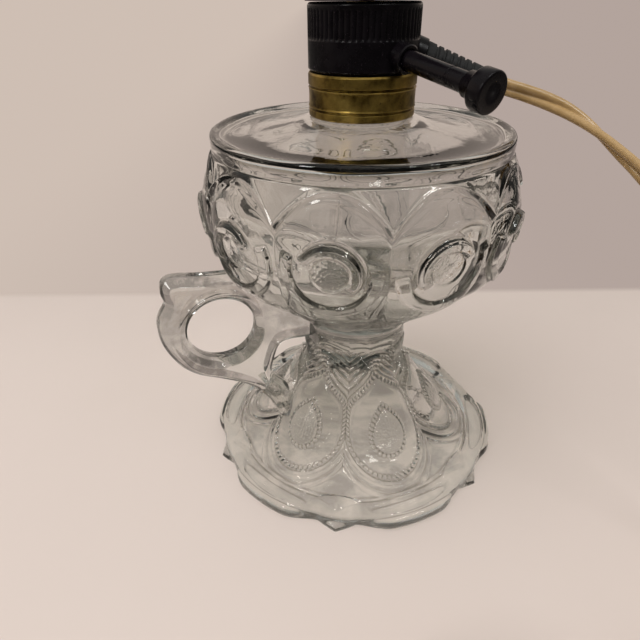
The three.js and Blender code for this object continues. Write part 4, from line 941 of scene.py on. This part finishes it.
def seam_profile():
    """The wall at a seam, with as many rows as the wall at the middle of a drop, softened a little."""
    reach = reach_along(np.array(DROP_LINE) * MM)
    shares = np.linspace(0, 1, FOOT_ROWS)
    kernel = np.hanning(9) / np.hanning(9).sum()
    columns = []
    for column in (np.array(SEAM_LINE) * MM).T:
        even = np.interp(shares, reach / reach[-1], column)
        soft = np.convolve(np.pad(even, 4, mode="edge"), kernel, mode="valid")
        columns.append(np.append(soft[:-1], even[-1]))
    return np.stack(columns, axis=-1)


def foot_body(chosen):
    drop, seam = rounded_line(np.array(DROP_LINE) * MM, FOOT_ROWS), seam_profile()
    steps = FOOT_COLUMNS // DROP_COUNT // 2
    share = np.arange(steps + 1)[None, :] / steps
    outward = smoothstep(drop[:, :1], 46 * MM, 51 * MM)
    tab = np.clip((share - TAB_SHARE) / (1 - TAB_SHARE), 0, 1)
    edge = share**DROP_EDGE_POWER * (1 - outward) + tab * outward
    radius = drop[:, :1] * (1 - edge) + seam[:, :1] * edge
    height = drop[:, 1:] * (1 - edge) + seam[:, 1:] * edge
    notch = smoothstep(share, NOTCH_SHARE, TAB_SHARE) * (1 - tab)
    radius = radius - NOTCH_DEPTH * notch * smoothstep(drop[:, :1], 50 * MM, 58 * MM)

    reach = reach_along(drop)
    tip = reach[np.argmin(np.abs(drop[:, 1] - DROP_TIP_HEIGHT) + (drop[:, 0] > 30 * MM))]

    def seam_half(along):
        return np.interp(along + tip, reach, drop[:, 0]) * HALF_DROP

    along = (reach[:, None] - tip) + 0 * share
    relief = foot_relief(along, radius, share * seam_half(along), seam_half, chosen)
    relief *= smoothstep(height, 0, 1.5 * MM) * smoothstep(52 * MM - height, 0, 3 * MM)
    slope = np.gradient(drop, axis=0)
    slope /= np.linalg.norm(slope, axis=1)[:, None]
    radius, height = radius - relief * slope[:, 1:], height + relief * slope[:, :1]

    # Half a drop is mirrored, and the whole repeats round the foot
    column = np.tile(np.concatenate([np.arange(steps + 1), np.arange(steps - 1, 0, -1)]), DROP_COUNT)
    radius, height, turn = radius[:, column], height[:, column], full_turn(FOOT_COLUMNS)
    wave = noise_waves(turn, height, 11, longest=0.05) * chosen.waviness
    radius = np.minimum(radius + wave * smoothstep(height, 0, 3 * MM), FOOT_RADIUS)
    body = closed_rings("glass_body", polar(radius, turn, np.maximum(height, 0)))

    hollow = np.vstack([rounded_line(np.array(HOLLOW_LINE) * MM, 60), np.array(HOLLOW_BELOW) * MM])
    radius, height, turn = hollow[:, :1], hollow[:, 1:], full_turn(240)
    ripple = 0.25 * MM * np.cos(DROP_COUNT * turn) * smoothstep(radius, 20 * MM, 45 * MM) * (height > 0)
    return merge(body, closed_rings("hollow", polar(radius + ripple, turn, height)), operation="DIFFERENCE")


PANEL_COUNT = 10
PANEL_TURN = math.radians(2.7)
FONT_COLUMNS = 1000
EYE_HEIGHT = 102 * MM
EYE_BAND = 3.6 * MM
EYE_OPENING = math.radians(122)
FONT_WALL = [
    (19.9, 55.4), (19.9, 57.5), (21.6, 61), (27.2, 67), (34.7, 73), (42.8, 79), (49.3, 85), (52.6, 91),
    (54.0, 97), (55.1, 103), (55.3, 109), (53.8, 115), (51.7, 121), (49.9, 125.0),
]
FONT_BAND = [(49.5, 125.25), (49.7, 125.5), (49.75, 128), (49.75, 129.8), (49.4, 130.6), (48.6, 131.0)]
FONT_DISH = [(47.6, 130.8), (45.5, 129.7), (41, 129.2), (35, 129.8), (29, 130.9), (23, 132.3), (17.8, 134.1)]
NECK = [(14, 134.2), (14, 141.0)]
CAVITY = [
    (0, 68), (15, 69.5), (30, 77), (40, 86), (46.4, 97), (48.8, 109), (47.6, 118), (47.1, 123.5),
    (47.4, 127.6), (46.2, 128.7), (41, 127.5), (35, 127.4), (29, 128.4), (22, 130), (13, 132.6),
    (11, 135.5),
]
CAVITY_MOUTH = [(11, 143), (0, 143)]


def font_relief(turn, height, radius, chosen):
    """Depth of the pattern on the wall of the font."""
    share = (turn - PANEL_TURN) / (2 * math.pi) * PANEL_COUNT
    panel = np.round(share)
    across = np.abs(share - panel) * 2

    # Arched panels with a fine double line, and two scallops below them
    below = (124.3 - 10.5 * across**2.2) * MM - height
    start, end = smoothstep(height, 62 * MM, 78 * MM), np.clip(below / (2.2 * MM), 0, 1)
    relief = -2.0 * MM * across**2.5 * start * end
    relief += 0.4 * MM * hump(below - 0.1 * MM, 0.9 * MM) + 0.2 * MM * hump(below - 2.4 * MM, 0.8 * MM)
    lower = (65.5 + 16 * across**2.3) * MM
    relief += 0.7 * MM * hump(height - lower, 0.7 * MM) + 0.6 * MM * hump(height - lower - 3.4 * MM, 0.7 * MM)

    # The round eye: an open band, mirrored from panel to panel, round a stippled ground
    beside = (turn - PANEL_TURN - panel / PANEL_COUNT * 2 * math.pi) * radius
    above = (height - EYE_HEIGHT) * 1.03
    off, outer = np.hypot(beside, above), chosen.eye_radius
    hand = np.where(panel % 2 == 0, -1, 1)
    opening = np.cos(np.arctan2(above, beside * hand) + EYE_OPENING)
    closed = smoothstep(0.22 - opening, 0, 0.3)
    band = smoothstep(outer - off, 0, 0.9 * MM) * smoothstep(off - outer + EYE_BAND, 0, 0.9 * MM)
    relief += 1.3 * MM * band * closed
    relief -= 0.4 * MM * hump(off - (outer + 0.6 * MM), 0.6 * MM) * closed
    ground = smoothstep(outer - 3.4 * MM - off, 0, 0.5 * MM)
    relief += ground * (chosen.stipple * stipple_field(beside + 0.4, above + 0.4, 0.9 * MM, 8) - 0.4 * MM)

    # The swag that hangs below it
    swag = smoothstep(off - outer - 2.2 * MM, 0, 0.9 * MM) * smoothstep(outer + 6.6 * MM - off, 0, 0.9 * MM)
    relief += 1.1 * MM * swag * smoothstep(2.5 * MM - above - 0.25 * beside * hand, 0, 2 * MM)
    return relief * smoothstep(height, 57.5 * MM, 60.5 * MM) * smoothstep(125.0 * MM - height, 0, 0.6 * MM)


def font_body(chosen):
    wall = rounded_line(np.array(FONT_WALL) * MM, 210)
    band = rounded_line(np.array(FONT_BAND) * MM, 16)
    dish = rounded_line(np.array(FONT_DISH) * MM, 26)
    profile = np.vstack([wall, band, dish, np.array(NECK) * MM])
    turn = full_turn(FONT_COLUMNS)
    radius, height, turn = np.broadcast_arrays(profile[:, :1], profile[:, 1:], turn)
    in_wall = np.arange(len(profile))[:, None] < len(wall)
    radius = radius + np.where(in_wall, font_relief(turn, height, radius, chosen), 0)
    wave = noise_waves(turn, height, 21, longest=0.06) * chosen.waviness
    radius = radius + wave * smoothstep(height, 58 * MM, 64 * MM) * (height < 131.5 * MM)
    font = closed_rings("font", polar(radius, turn, height))

    cavity = np.vstack([rounded_line(np.array(CAVITY) * MM, 120), np.array(CAVITY_MOUTH) * MM])
    radius, height, turn = cavity[:, :1], cavity[:, 1:], full_turn(300)
    ripple = noise_waves(turn, height, 31, longest=0.04) * chosen.waviness * 2.2
    ripple = ripple + 0.35 * MM * np.cos(PANEL_COUNT * (turn - PANEL_TURN))
    inside = polar(radius + ripple * smoothstep(radius, 16 * MM, 30 * MM), turn, height)
    return merge(font, closed_rings("cavity", inside), operation="DIFFERENCE")


HANDLE_LINE = [
    (44, 85.9), (50, 86.2), (56, 86.6), (62, 87.3), (67, 88.1), (70.6, 88.0), (72.9, 86), (73.5, 82.4),
    (72.8, 78.5), (75.2, 74.5), (76.6, 70.5), (76.3, 64), (74.2, 57.5), (70.3, 50.8), (64.8, 45.8),
    (58, 42.4), (50.5, 38.3), (44.5, 34), (40.3, 28.5), (37, 23), (33.5, 14.5), (27, 12), (25, 19),
    (29.4, 26), (30.8, 32), (36.6, 39.3), (35.5, 46), (33.2, 51.5), (29.5, 53.2), (17, 53.2), (16.5, 60),
    (24, 72), (36, 82.5),
]
HANDLE_REACH = 76.6 * MM
HANDLE_THICKNESS = 9.6 * MM
HANDLE_CHAMFER = 3.1 * MM
HANDLE_CELL = 0.45 * MM
FINGER_HOLE = np.array((54.4, 64.2)) * MM
FINGER_HOLE_HALF = np.array((12.5, 12.2)) * MM


def handle_outline():
    """Chamfered upright bar as a filled curve with the finger hole in it."""
    curve = bpy.data.curves.new("handle outline", "CURVE")
    curve.dimensions, curve.fill_mode = "2D", "BOTH"
    curve.extrude = HANDLE_THICKNESS / 2 - HANDLE_CHAMFER
    curve.bevel_depth, curve.bevel_resolution, curve.offset = HANDLE_CHAMFER, 0, -HANDLE_CHAMFER
    outline = rounded_line(np.array([*HANDLE_LINE, HANDLE_LINE[0]]) * MM, 260)[:-1]
    outline[:, 0] = np.minimum(outline[:, 0], HANDLE_REACH)
    angle = full_turn(96)[0]
    hole = FINGER_HOLE + FINGER_HOLE_HALF * np.column_stack([np.cos(angle), np.sin(angle)])
    for points in (outline, hole):
        spline = curve.splines.new("POLY")
        spline.points.add(len(points) - 1)
        for point, (reach, height) in zip(spline.points, points):
            point.co = (reach, height, 0, 1)
        spline.use_cyclic_u = True
    return curve


def handle_body():
    """The bar made solid and even, in the plane of the lamp's axis."""
    source = bpy.data.objects.new("handle source", handle_outline())
    bpy.context.scene.collection.objects.link(source)
    mesh = applied(source)
    bpy.data.objects.remove(source)
    handle = bpy.data.objects.new("handle", mesh)
    bpy.context.scene.collection.objects.link(handle)
    work = bmesh.new()
    work.from_mesh(mesh)
    bmesh.ops.remove_doubles(work, verts=work.verts, dist=1e-6)
    bmesh.ops.dissolve_degenerate(work, dist=1e-7, edges=work.edges)
    bmesh.ops.triangulate(work, faces=work.faces)
    bmesh.ops.recalc_face_normals(work, faces=work.faces)
    open_edges = sum(1 for edge in work.edges if not edge.is_manifold)
    work.to_mesh(mesh)
    work.free()
    if open_edges:
        raise RuntimeError(f"the handle has {open_edges} open edges")
    even = handle.modifiers.new("even", "REMESH")
    even.mode, even.voxel_size = "VOXEL", HANDLE_CELL
    handle.modifiers.new("soft", "SMOOTH").iterations = 3
    handle.data = applied(handle)
    handle.modifiers.clear()
    bpy.data.meshes.remove(mesh)
    handle.data.transform(Matrix(((-1, 0, 0, AXIS.x), (0, 0, 1, AXIS.y), (0, 1, 0, 0), (0, 0, 0, 1))))
    fix_normals(handle)
    return handle


def make_glass():
    chosen = settings("glass")
    glass = merge(foot_body(chosen), font_body(chosen), handle_body())
    glass.name = glass.data.name = "pressed_glass"
    dress(glass, "glass", 48)
    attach(glass, "root")
    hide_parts("glass_foot", "glass_font", "glass_handle")


# Collar, adapter and socket

KNOB_TURN = math.radians(15)
KNOB_DROOP = math.radians(10)
KNOB_DIRECTION = direction(KNOB_TURN, KNOB_DROOP)
KNOB_EXIT_HEIGHT = 4.5 * MM
KNOB_CROSSING = crossing(KNOB_EXIT_HEIGHT, KNOB_DROOP)
KNOB_WALL = HOUSING_RADIUS / math.cos(KNOB_DROOP)
KNOB_FACE = 50.5 * MM / math.cos(KNOB_DROOP)
KNOB_THICKNESS = 5.3 * MM
KNOB_HUB = 3.1 * MM
FLUTES, FLUTE_DEPTH = 60, 0.45 * MM


def make_collar():
    profile = scaled(
        (16, 0), (16.8, 0), (17.1, 0.35), (17.1, 2.1), (16.6, 2.4), (16.6, 2.7), (17.25, 3.0), (17.05, 3.5),
        (17.02, 5.7), (17.05, 8.1), (17.25, 8.5), (16.6, 8.85), (16.6, 9.1), (17.25, 9.4), (17.25, 12.3),
        (16.9, 12.9), (16.2, 12.9), (16, 12.7), base=COLLAR_LOW.z,
    )
    collar = turned_wall("collar_brass", profile, "aged_brass", 0.12 * MM, 160)
    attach(collar, "root")
    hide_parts("brass_collar")
    finish_node("cement", "collar_cement")


def fluted_ring(name, profile, finish, low, high, segments=240):
    """A turned ring with upright flutes between two heights, moulded for grip."""
    table, turn = arc_corners(profile, 0.3 * MM), full_turn(segments)
    radius, height = table[:, :1], table[:, 1:]
    mask = smoothstep(height, low, low + 0.6 * MM) * smoothstep(high - height, 0, 0.6 * MM)
    cut = FLUTE_DEPTH * (0.5 - 0.5 * np.cos(FLUTES * turn)) ** 2 * mask * (radius > radius.max() - 1.0 * MM)
    return closed_loop(name, polar(radius - cut, turn, height), finish)


def drill(radius, depth, heading, origin):
    """A plain rod that is cut from another body."""
    return along_axis("hole", scaled((0, 0), (radius, 0), (radius, depth), (0, depth)), heading, origin)


def make_housing():
    low, high = COLLAR_HIGH.z + CLEARANCE, HOUSING_HIGH.z
    outer, inner, corner = HOUSING_RADIUS, HOUSING_RADIUS - HOUSING_WALL, 0.6 * MM
    profile = [(inner, low), (outer - corner, low), (outer, low + corner)]
    profile += [(outer, height) for height in np.linspace(low + 1.2 * MM, high - 1.2 * MM, 14)]
    profile += [(outer, high - corner), (outer - corner, high), (inner, high)]
    housing = fluted_ring("switch_case", profile, "phenolic", low + 8.5 * MM, high - 1.5 * MM)
    knob_boss = scaled((0, -2), (4.2, -2), (4.1, 2.6), (3.8, 3), (0, 3), base=KNOB_WALL)
    lead_boss = scaled((0, -2), (4.8, -2), (4.7, 1.4), (0, 1.4), base=CORD_WALL)
    merge(
        housing,
        along_axis("boss", knob_boss, KNOB_DIRECTION, KNOB_CROSSING),
        along_axis("lead boss", lead_boss, CORD_DIRECTION, CORD_CROSSING),
    )
    merge(
        housing,
        drill(18, 20, (0, 0, 1), (AXIS.x, AXIS.y, low - 20 * MM)),
        drill(3.1, 40, KNOB_DIRECTION, KNOB_CROSSING),
        drill(3.6, 50, CORD_DIRECTION, CORD_CROSSING),
        operation="DIFFERENCE",
    )
    dress(housing, "phenolic", 35)
    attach(housing, "root")
    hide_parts("switch_housing")


SCREW_HEAD = 1.65
SLOT_FACES = [(0, 1, 3, 2), (4, 6, 7, 5), (0, 4, 5, 1), (2, 3, 7, 6), (0, 2, 6, 4), (1, 5, 7, 3)]


def make_screw(node, name):
    """Slotted round-head screw in the wall of the housing."""
    low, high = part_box(node)
    middle = (low + high) / 2
    outward = Vector((middle.x - AXIS.x, middle.y - AXIS.y, 0)).normalized()
    origin = (AXIS.x, AXIS.y, middle.z)
    seat = HOUSING_RADIUS + CLEARANCE
    head = scaled((0, 0), (1, 0), base=HOUSING_RADIUS - HOUSING_WALL)
    head += scaled((1, 0), (SCREW_HEAD, 0), base=seat)
    for angle in np.linspace(0, math.pi / 2, 9):
        head += scaled((SCREW_HEAD * math.cos(angle), 0.35 + 0.7 * math.sin(angle)), base=seat)
    screw = along_axis(name, head, outward, origin, None, 40, 30)
    half_long, half_wide = 2.2 * MM, 0.25 * MM
    heights = (seat + 0.55 * MM, seat + 3 * MM)
    corners = [(x * half_long, y * half_wide, z) for x in (-1, 1) for y in (-1, 1) for z in heights]
    slot = aim(new_object("slot", corners, SLOT_FACES), outward, origin)
    fix_normals(slot)
    merge(screw, slot, operation="DIFFERENCE")
    dress(screw, "steel", 30)
    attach(screw, "root")
    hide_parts(node)


def make_shell(chosen):
    """Thin screw shell with its rolled thread: up its outside, over its lip and down its inside."""
    low, high = (corner.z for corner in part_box("screw_shell"))
    turn, thickness = full_turn(120), 0.56 * MM
    heights = np.linspace(low + 1.2 * MM, high - 2.2 * MM, 90)[:, None]
    rolled = 0.55 * MM * (0.5 - 0.5 * np.cos(2 * math.pi * (heights / chosen.thread_pitch) + turn))
    outside = 13.9 * MM - rolled * smoothstep(heights, low + 2 * MM, low + 5 * MM)

    def plain(*pairs, base):
        table = np.array(scaled(*pairs, base=base))
        return polar(table[:, :1], turn, table[:, 1:])

    rings = np.concatenate([
        plain((6.6, 0), (13.2, 0), (13.8, 0.5), base=low),
        polar(outside, turn, heights),
        plain((13.9, -1.2), (14.3, -0.2), (14.25, 0), (13.7, 0), (13.2, -1.0), base=high),
        polar(outside - thickness, turn, heights)[:0:-1],
        plain((13.0, 0.9), (6.6, 0.8), base=low),
    ])
    shell = closed_loop("threaded_shell", rings, "bright_brass", 40)
    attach(shell, "root")
    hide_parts("screw_shell")


def make_sleeve():
    """Grooved cover of the lamp socket."""
    base, top = (corner.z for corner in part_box("socket_cover"))
    profile = [(15.4, 0), (17.6, 0), (17.9, 0.3), (17.9, 2.2), (17.5, 2.6)]
    for groove in range(5):
        start = 5 + groove * 2.2
        profile += [(17.5, start), (17.1, start + 0.3), (17.1, start + 0.7), (17.5, start + 1)]
    rim = [(17.5, -1.0), (17.3, -0.3), (16.6, 0), (15.9, 0), (15.4, -0.5)]
    profile = scaled(*profile, (17.45, 20), base=base) + scaled(*rim, base=top)
    sleeve = turned_wall("socket_sleeve", profile, "phenolic", 0.2 * MM)
    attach(sleeve, "root")
    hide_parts("socket_cover")


def make_adapter():
    make_housing()
    make_sleeve()
    make_shell(settings("adapter"))
    for side in ("left", "right"):
        make_screw("housing_screw_" + side, "case_screw_" + side)
    finish_node("phenolic", "adapter_base", "socket_insulator")
    finish_node("bright_brass", "line_contact", "lamp_contact", "shell_strap", "centre_contact")
    finish_node("steel", "line_terminal_screw", "return_terminal_screw")
    finish_node("rubber", "line_wire", "return_wire")


def make_switch():
    """Knob, its sleeve, and what turns with it."""
    back = KNOB_FACE - KNOB_THICKNESS
    hub = back - KNOB_HUB
    profile = (
        scaled((0, 0), (3.25, 0), (3.45, 0.2), base=hub)
        + scaled((3.45, -0.25), (3.6, -0.05), (4.4, 0), (4.65, 0.12), (5.4, 0.95), (5.5, 1.2), base=back)
        + scaled((5.5, -0.55), (5.4, -0.25), (5.15, -0.05), (4.8, 0), (3, -0.04), (0, -0.06), base=KNOB_FACE)
    )
    knob = along_axis("turn_knob_moulding", profile, KNOB_DIRECTION, KNOB_CROSSING, "phenolic", 96, 50)
    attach(knob, "knob")
    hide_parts("turn_knob")
    inner = (HOUSING_RADIUS - HOUSING_WALL) / math.cos(KNOB_DROOP)
    profile = scaled((0, 0), (2.75, 0), base=inner)
    profile += scaled((2.75, -6), (2.6, -5.8), (2.6, -5.2), base=hub - CLEARANCE)
    profile += scaled((2.75, -5), (2.75, -0.25), (2.5, 0), (0, 0), base=hub - CLEARANCE)
    sleeve = along_axis("knob_sleeve", profile, KNOB_DIRECTION, KNOB_CROSSING, "phenolic", 72, 30)
    merge(sleeve, drill(1.75, 60, KNOB_DIRECTION, KNOB_CROSSING), operation="DIFFERENCE")
    dress(sleeve, "phenolic", 30)
    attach(sleeve, "root")
    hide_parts("knob_bushing")
    finish_node("steel", "switch_spindle")
    finish_node("bright_brass", "switch_rotor")


# Stage

FLOOR_HALF = 30
FLOOR_DROP = 0.2 * MM


def share_along(tree, place, axis, start, end):
    """A value that goes from 0 to 1 between two places along an axis of a vector."""
    return eased(tree, component(tree, place, axis), start, end)


def floor_material(chosen):
    """Pale floor with a painted shadow under the foot, and past its far edge a backdrop that glows with
    painted light, lit on the left and dim on the right, which the camera and the glass see.
    """
    made, tree, shader = new_material("pale floor")
    place = add(tree, "TexCoord").outputs["Object"]
    direct = add(tree, "LightPath").outputs["Is Camera Ray"]

    # Other rays see the floor and the backdrop end in the dim room
    haze = effect(tree, "patches", Size=6, Low=0.3, High=0.75)
    plain = mixed(tree, haze, chosen.table, dimmed(chosen.table, 0.97))
    near = plain
    for axis, start, end in (("Y", -310, -360), ("X", -380, -450), ("X", 380, 450)):
        near = mixed(tree, share_along(tree, place, axis, start * MM, end * MM), near, chosen.room)
    near = mixed(tree, direct, near, plain)

    # Below the foot, painted shadow: swirls of shade in the floor's colour, standing in for the shade that
    # the glass throws
    shade_swirls = effect(tree, "patches", Size=75, Low=0.42, High=0.6)
    shade = mixed(tree, shade_swirls, dimmed(chosen.table, 0.6), chosen.table)
    away = away_from_axis(tree, add(tree, "NewGeometry").outputs["Position"])
    near = mixed(tree, eased(tree, away, 60 * MM, 48 * MM), near, shade)
    feed(tree, shader, {"Base Color": near, "Roughness": 0.55, "Specular IOR Level": 0.2})

    # The backdrop glows with painted light: lighter on its lit left side, darker on its dim right side
    across = share_along(tree, place, "X", -320 * MM, 220 * MM)
    seen = mixed(tree, across, chosen.wall_left, chosen.wall_right)
    beyond = seen
    for start, end in ((-450, -600), (450, 600)):
        beyond = mixed(tree, share_along(tree, place, "X", start * MM, end * MM), beyond, chosen.room)
    wall = add(tree, "Emission", {"Color": mixed(tree, direct, beyond, seen)}).outputs["Emission"]
    show(tree, share_along(tree, place, "Y", -3 * MM, 5 * MM), shader.outputs["BSDF"], wall)
    return made


def make_floor(chosen):
    """A plane whose own Y starts at the far edge that the camera sees, just clear of the glass."""
    corners = [(x * FLOOR_HALF, y * FLOOR_HALF, 0) for x, y in ((-1, -1), (1, -1), (1, 1), (-1, 1))]
    floor = new_object("floor", corners, [(0, 1, 2, 3)])
    floor.data.materials.append(floor_material(chosen))
    reach = Vector((math.sin(CAMERA_YAW), math.cos(CAMERA_YAW), 0)) * chosen.edge_distance
    place = Vector((AXIS.x + CAMERA_PLACE[0], AXIS.y + CAMERA_PLACE[1], -FLOOR_DROP)) + reach
    floor.matrix_world = Matrix.Translation(place) @ Matrix.Rotation(-CAMERA_YAW, 4, "Z")


# Lights: name, place in metres, width and height in metres, power in watts, colour
LIGHTS = [
    ("ceiling light", (-0.35, -0.1, 1.0), 0.6, 0.6, 6, (1, 1, 1)),
    ("window", (-0.7, -0.35, 0.6), 0.12, 0.3, 1.5, (1, 0.98, 0.95)),
    ("lamp strip", (0.22, -0.42, 0.62), 0.3, 0.035, 0.8, (1, 1, 1)),
]
LIT_HEIGHT = 70 * MM


def make_lights():
    for name, place, width, height, power, colour in LIGHTS:
        data = bpy.data.lights.new(name, "AREA")
        data.energy, data.color = power, colour
        data.shape, data.size, data.size_y = "RECTANGLE", width, height
        light = bpy.data.objects.new(name, data)
        light.location = place
        heading = Vector((AXIS.x, AXIS.y, LIT_HEIGHT)) - Vector(place)
        light.rotation_euler = heading.to_track_quat("-Z", "Y").to_euler()
        # Seen in the glass, the wide ceiling light would veil it
        light.visible_glossy = light.visible_transmission = name != "ceiling light"
        bpy.context.scene.collection.objects.link(light)


def make_world(chosen):
    """Soft room light: bright ceiling, pale wall ahead, dim room behind the camera."""
    world = bpy.data.worlds.new("studio")
    world.use_nodes = True
    tree = world.node_tree
    place = add(tree, "TexCoord").outputs["Generated"]
    around = mixed(tree, share_along(tree, place, "Y", -0.25, 0.35), chosen.room, chosen.wall_left)
    around = mixed(tree, share_along(tree, place, "Z", 0.42, 0.62), around, chosen.ceiling)
    direct = add(tree, "LightPath").outputs["Is Camera Ray"]
    colour = mixed(tree, direct, around, chosen.wall_left)
    feed(tree, tree.nodes["Background"], {"Color": colour, "Strength": 1})
    bpy.context.scene.world = world


def make_stage():
    chosen = settings("stage")
    make_floor(chosen)
    make_world(chosen)
    make_lights()
    bpy.context.scene.view_settings.view_transform = "Standard"


# Operators, panel and registration


class LAMP_OT_camera(bpy.types.Operator):
    """Place the camera at the photo's viewing angle"""

    bl_idname = "lamp.camera"
    bl_label = "Camera"

    def execute(self, context):
        make_camera()
        return {"FINISHED"}


class LAMP_OT_lead(bpy.types.Operator):
    """Build the mains lead with its strain relief, coil, tie and plug"""

    bl_idname = "lamp.lead"
    bl_label = "Mains lead"

    def execute(self, context):
        make_lead()
        return {"FINISHED"}


class LAMP_OT_glass(bpy.types.Operator):
    """Build the fused pressed glass: foot, font and handle"""

    bl_idname = "lamp.glass"
    bl_label = "Pressed glass"

    def execute(self, context):
        make_glass()
        return {"FINISHED"}


class LAMP_OT_collar(bpy.types.Operator):
    """Build the brass collar and finish its cement"""

    bl_idname = "lamp.collar"
    bl_label = "Collar"

    def execute(self, context):
        make_collar()
        return {"FINISHED"}


class LAMP_OT_adapter(bpy.types.Operator):
    """Build the moulded adapter, its screws and the lamp socket"""

    bl_idname = "lamp.adapter"
    bl_label = "Adapter and socket"

    def execute(self, context):
        make_adapter()
        return {"FINISHED"}


class LAMP_OT_switch(bpy.types.Operator):
    """Build the turn knob and its sleeve"""

    bl_idname = "lamp.turn_switch"
    bl_label = "Turn switch"

    def execute(self, context):
        make_switch()
        return {"FINISHED"}


class LAMP_OT_stage(bpy.types.Operator):
    """Make the floor, the backdrop and the lights"""

    bl_idname = "lamp.stage"
    bl_label = "Stage"

    def execute(self, context):
        make_stage()
        return {"FINISHED"}


OPERATORS = (
    LAMP_OT_camera,
    LAMP_OT_lead,
    LAMP_OT_glass,
    LAMP_OT_collar,
    LAMP_OT_adapter,
    LAMP_OT_switch,
    LAMP_OT_stage,
)
SETTINGS = {
    "glass": GlassSettings,
    "metal": MetalSettings,
    "adapter": AdapterSettings,
    "lead": LeadSettings,
    "stage": StageSettings,
}


class LAMP_PT_panel(bpy.types.Panel):
    """Lists the steps that build the lamp, and its settings"""

    bl_label = "Oil Lamp"
    bl_idname = "LAMP_PT_panel"
    bl_space_type = "VIEW_3D"
    bl_region_type = "UI"
    bl_category = "Oil Lamp"

    def draw(self, context):
        for operator in OPERATORS:
            self.layout.operator(operator.bl_idname)
        for name, group in SETTINGS.items():
            box = self.layout.box()
            box.label(text=group.__doc__)
            for label in group.__annotations__:
                box.prop(getattr(context.scene, "lamp_" + name), label)


def register():
    for name, group in SETTINGS.items():
        bpy.utils.register_class(group)
        setattr(bpy.types.Scene, "lamp_" + name, bpy.props.PointerProperty(type=group))
    for operator in OPERATORS:
        bpy.utils.register_class(operator)
    bpy.utils.register_class(LAMP_PT_panel)


def unregister():
    bpy.utils.unregister_class(LAMP_PT_panel)
    for operator in reversed(OPERATORS):
        bpy.utils.unregister_class(operator)
    for name, group in reversed(SETTINGS.items()):
        delattr(bpy.types.Scene, "lamp_" + name)
        bpy.utils.unregister_class(group)


def main():
    register()
    bpy.ops.lamp.camera()
    bpy.ops.lamp.lead()
    bpy.ops.lamp.glass()
    bpy.ops.lamp.collar()
    bpy.ops.lamp.adapter()
    bpy.ops.lamp.turn_switch()
    bpy.ops.lamp.stage()


if __name__ == "__main__":
    main()
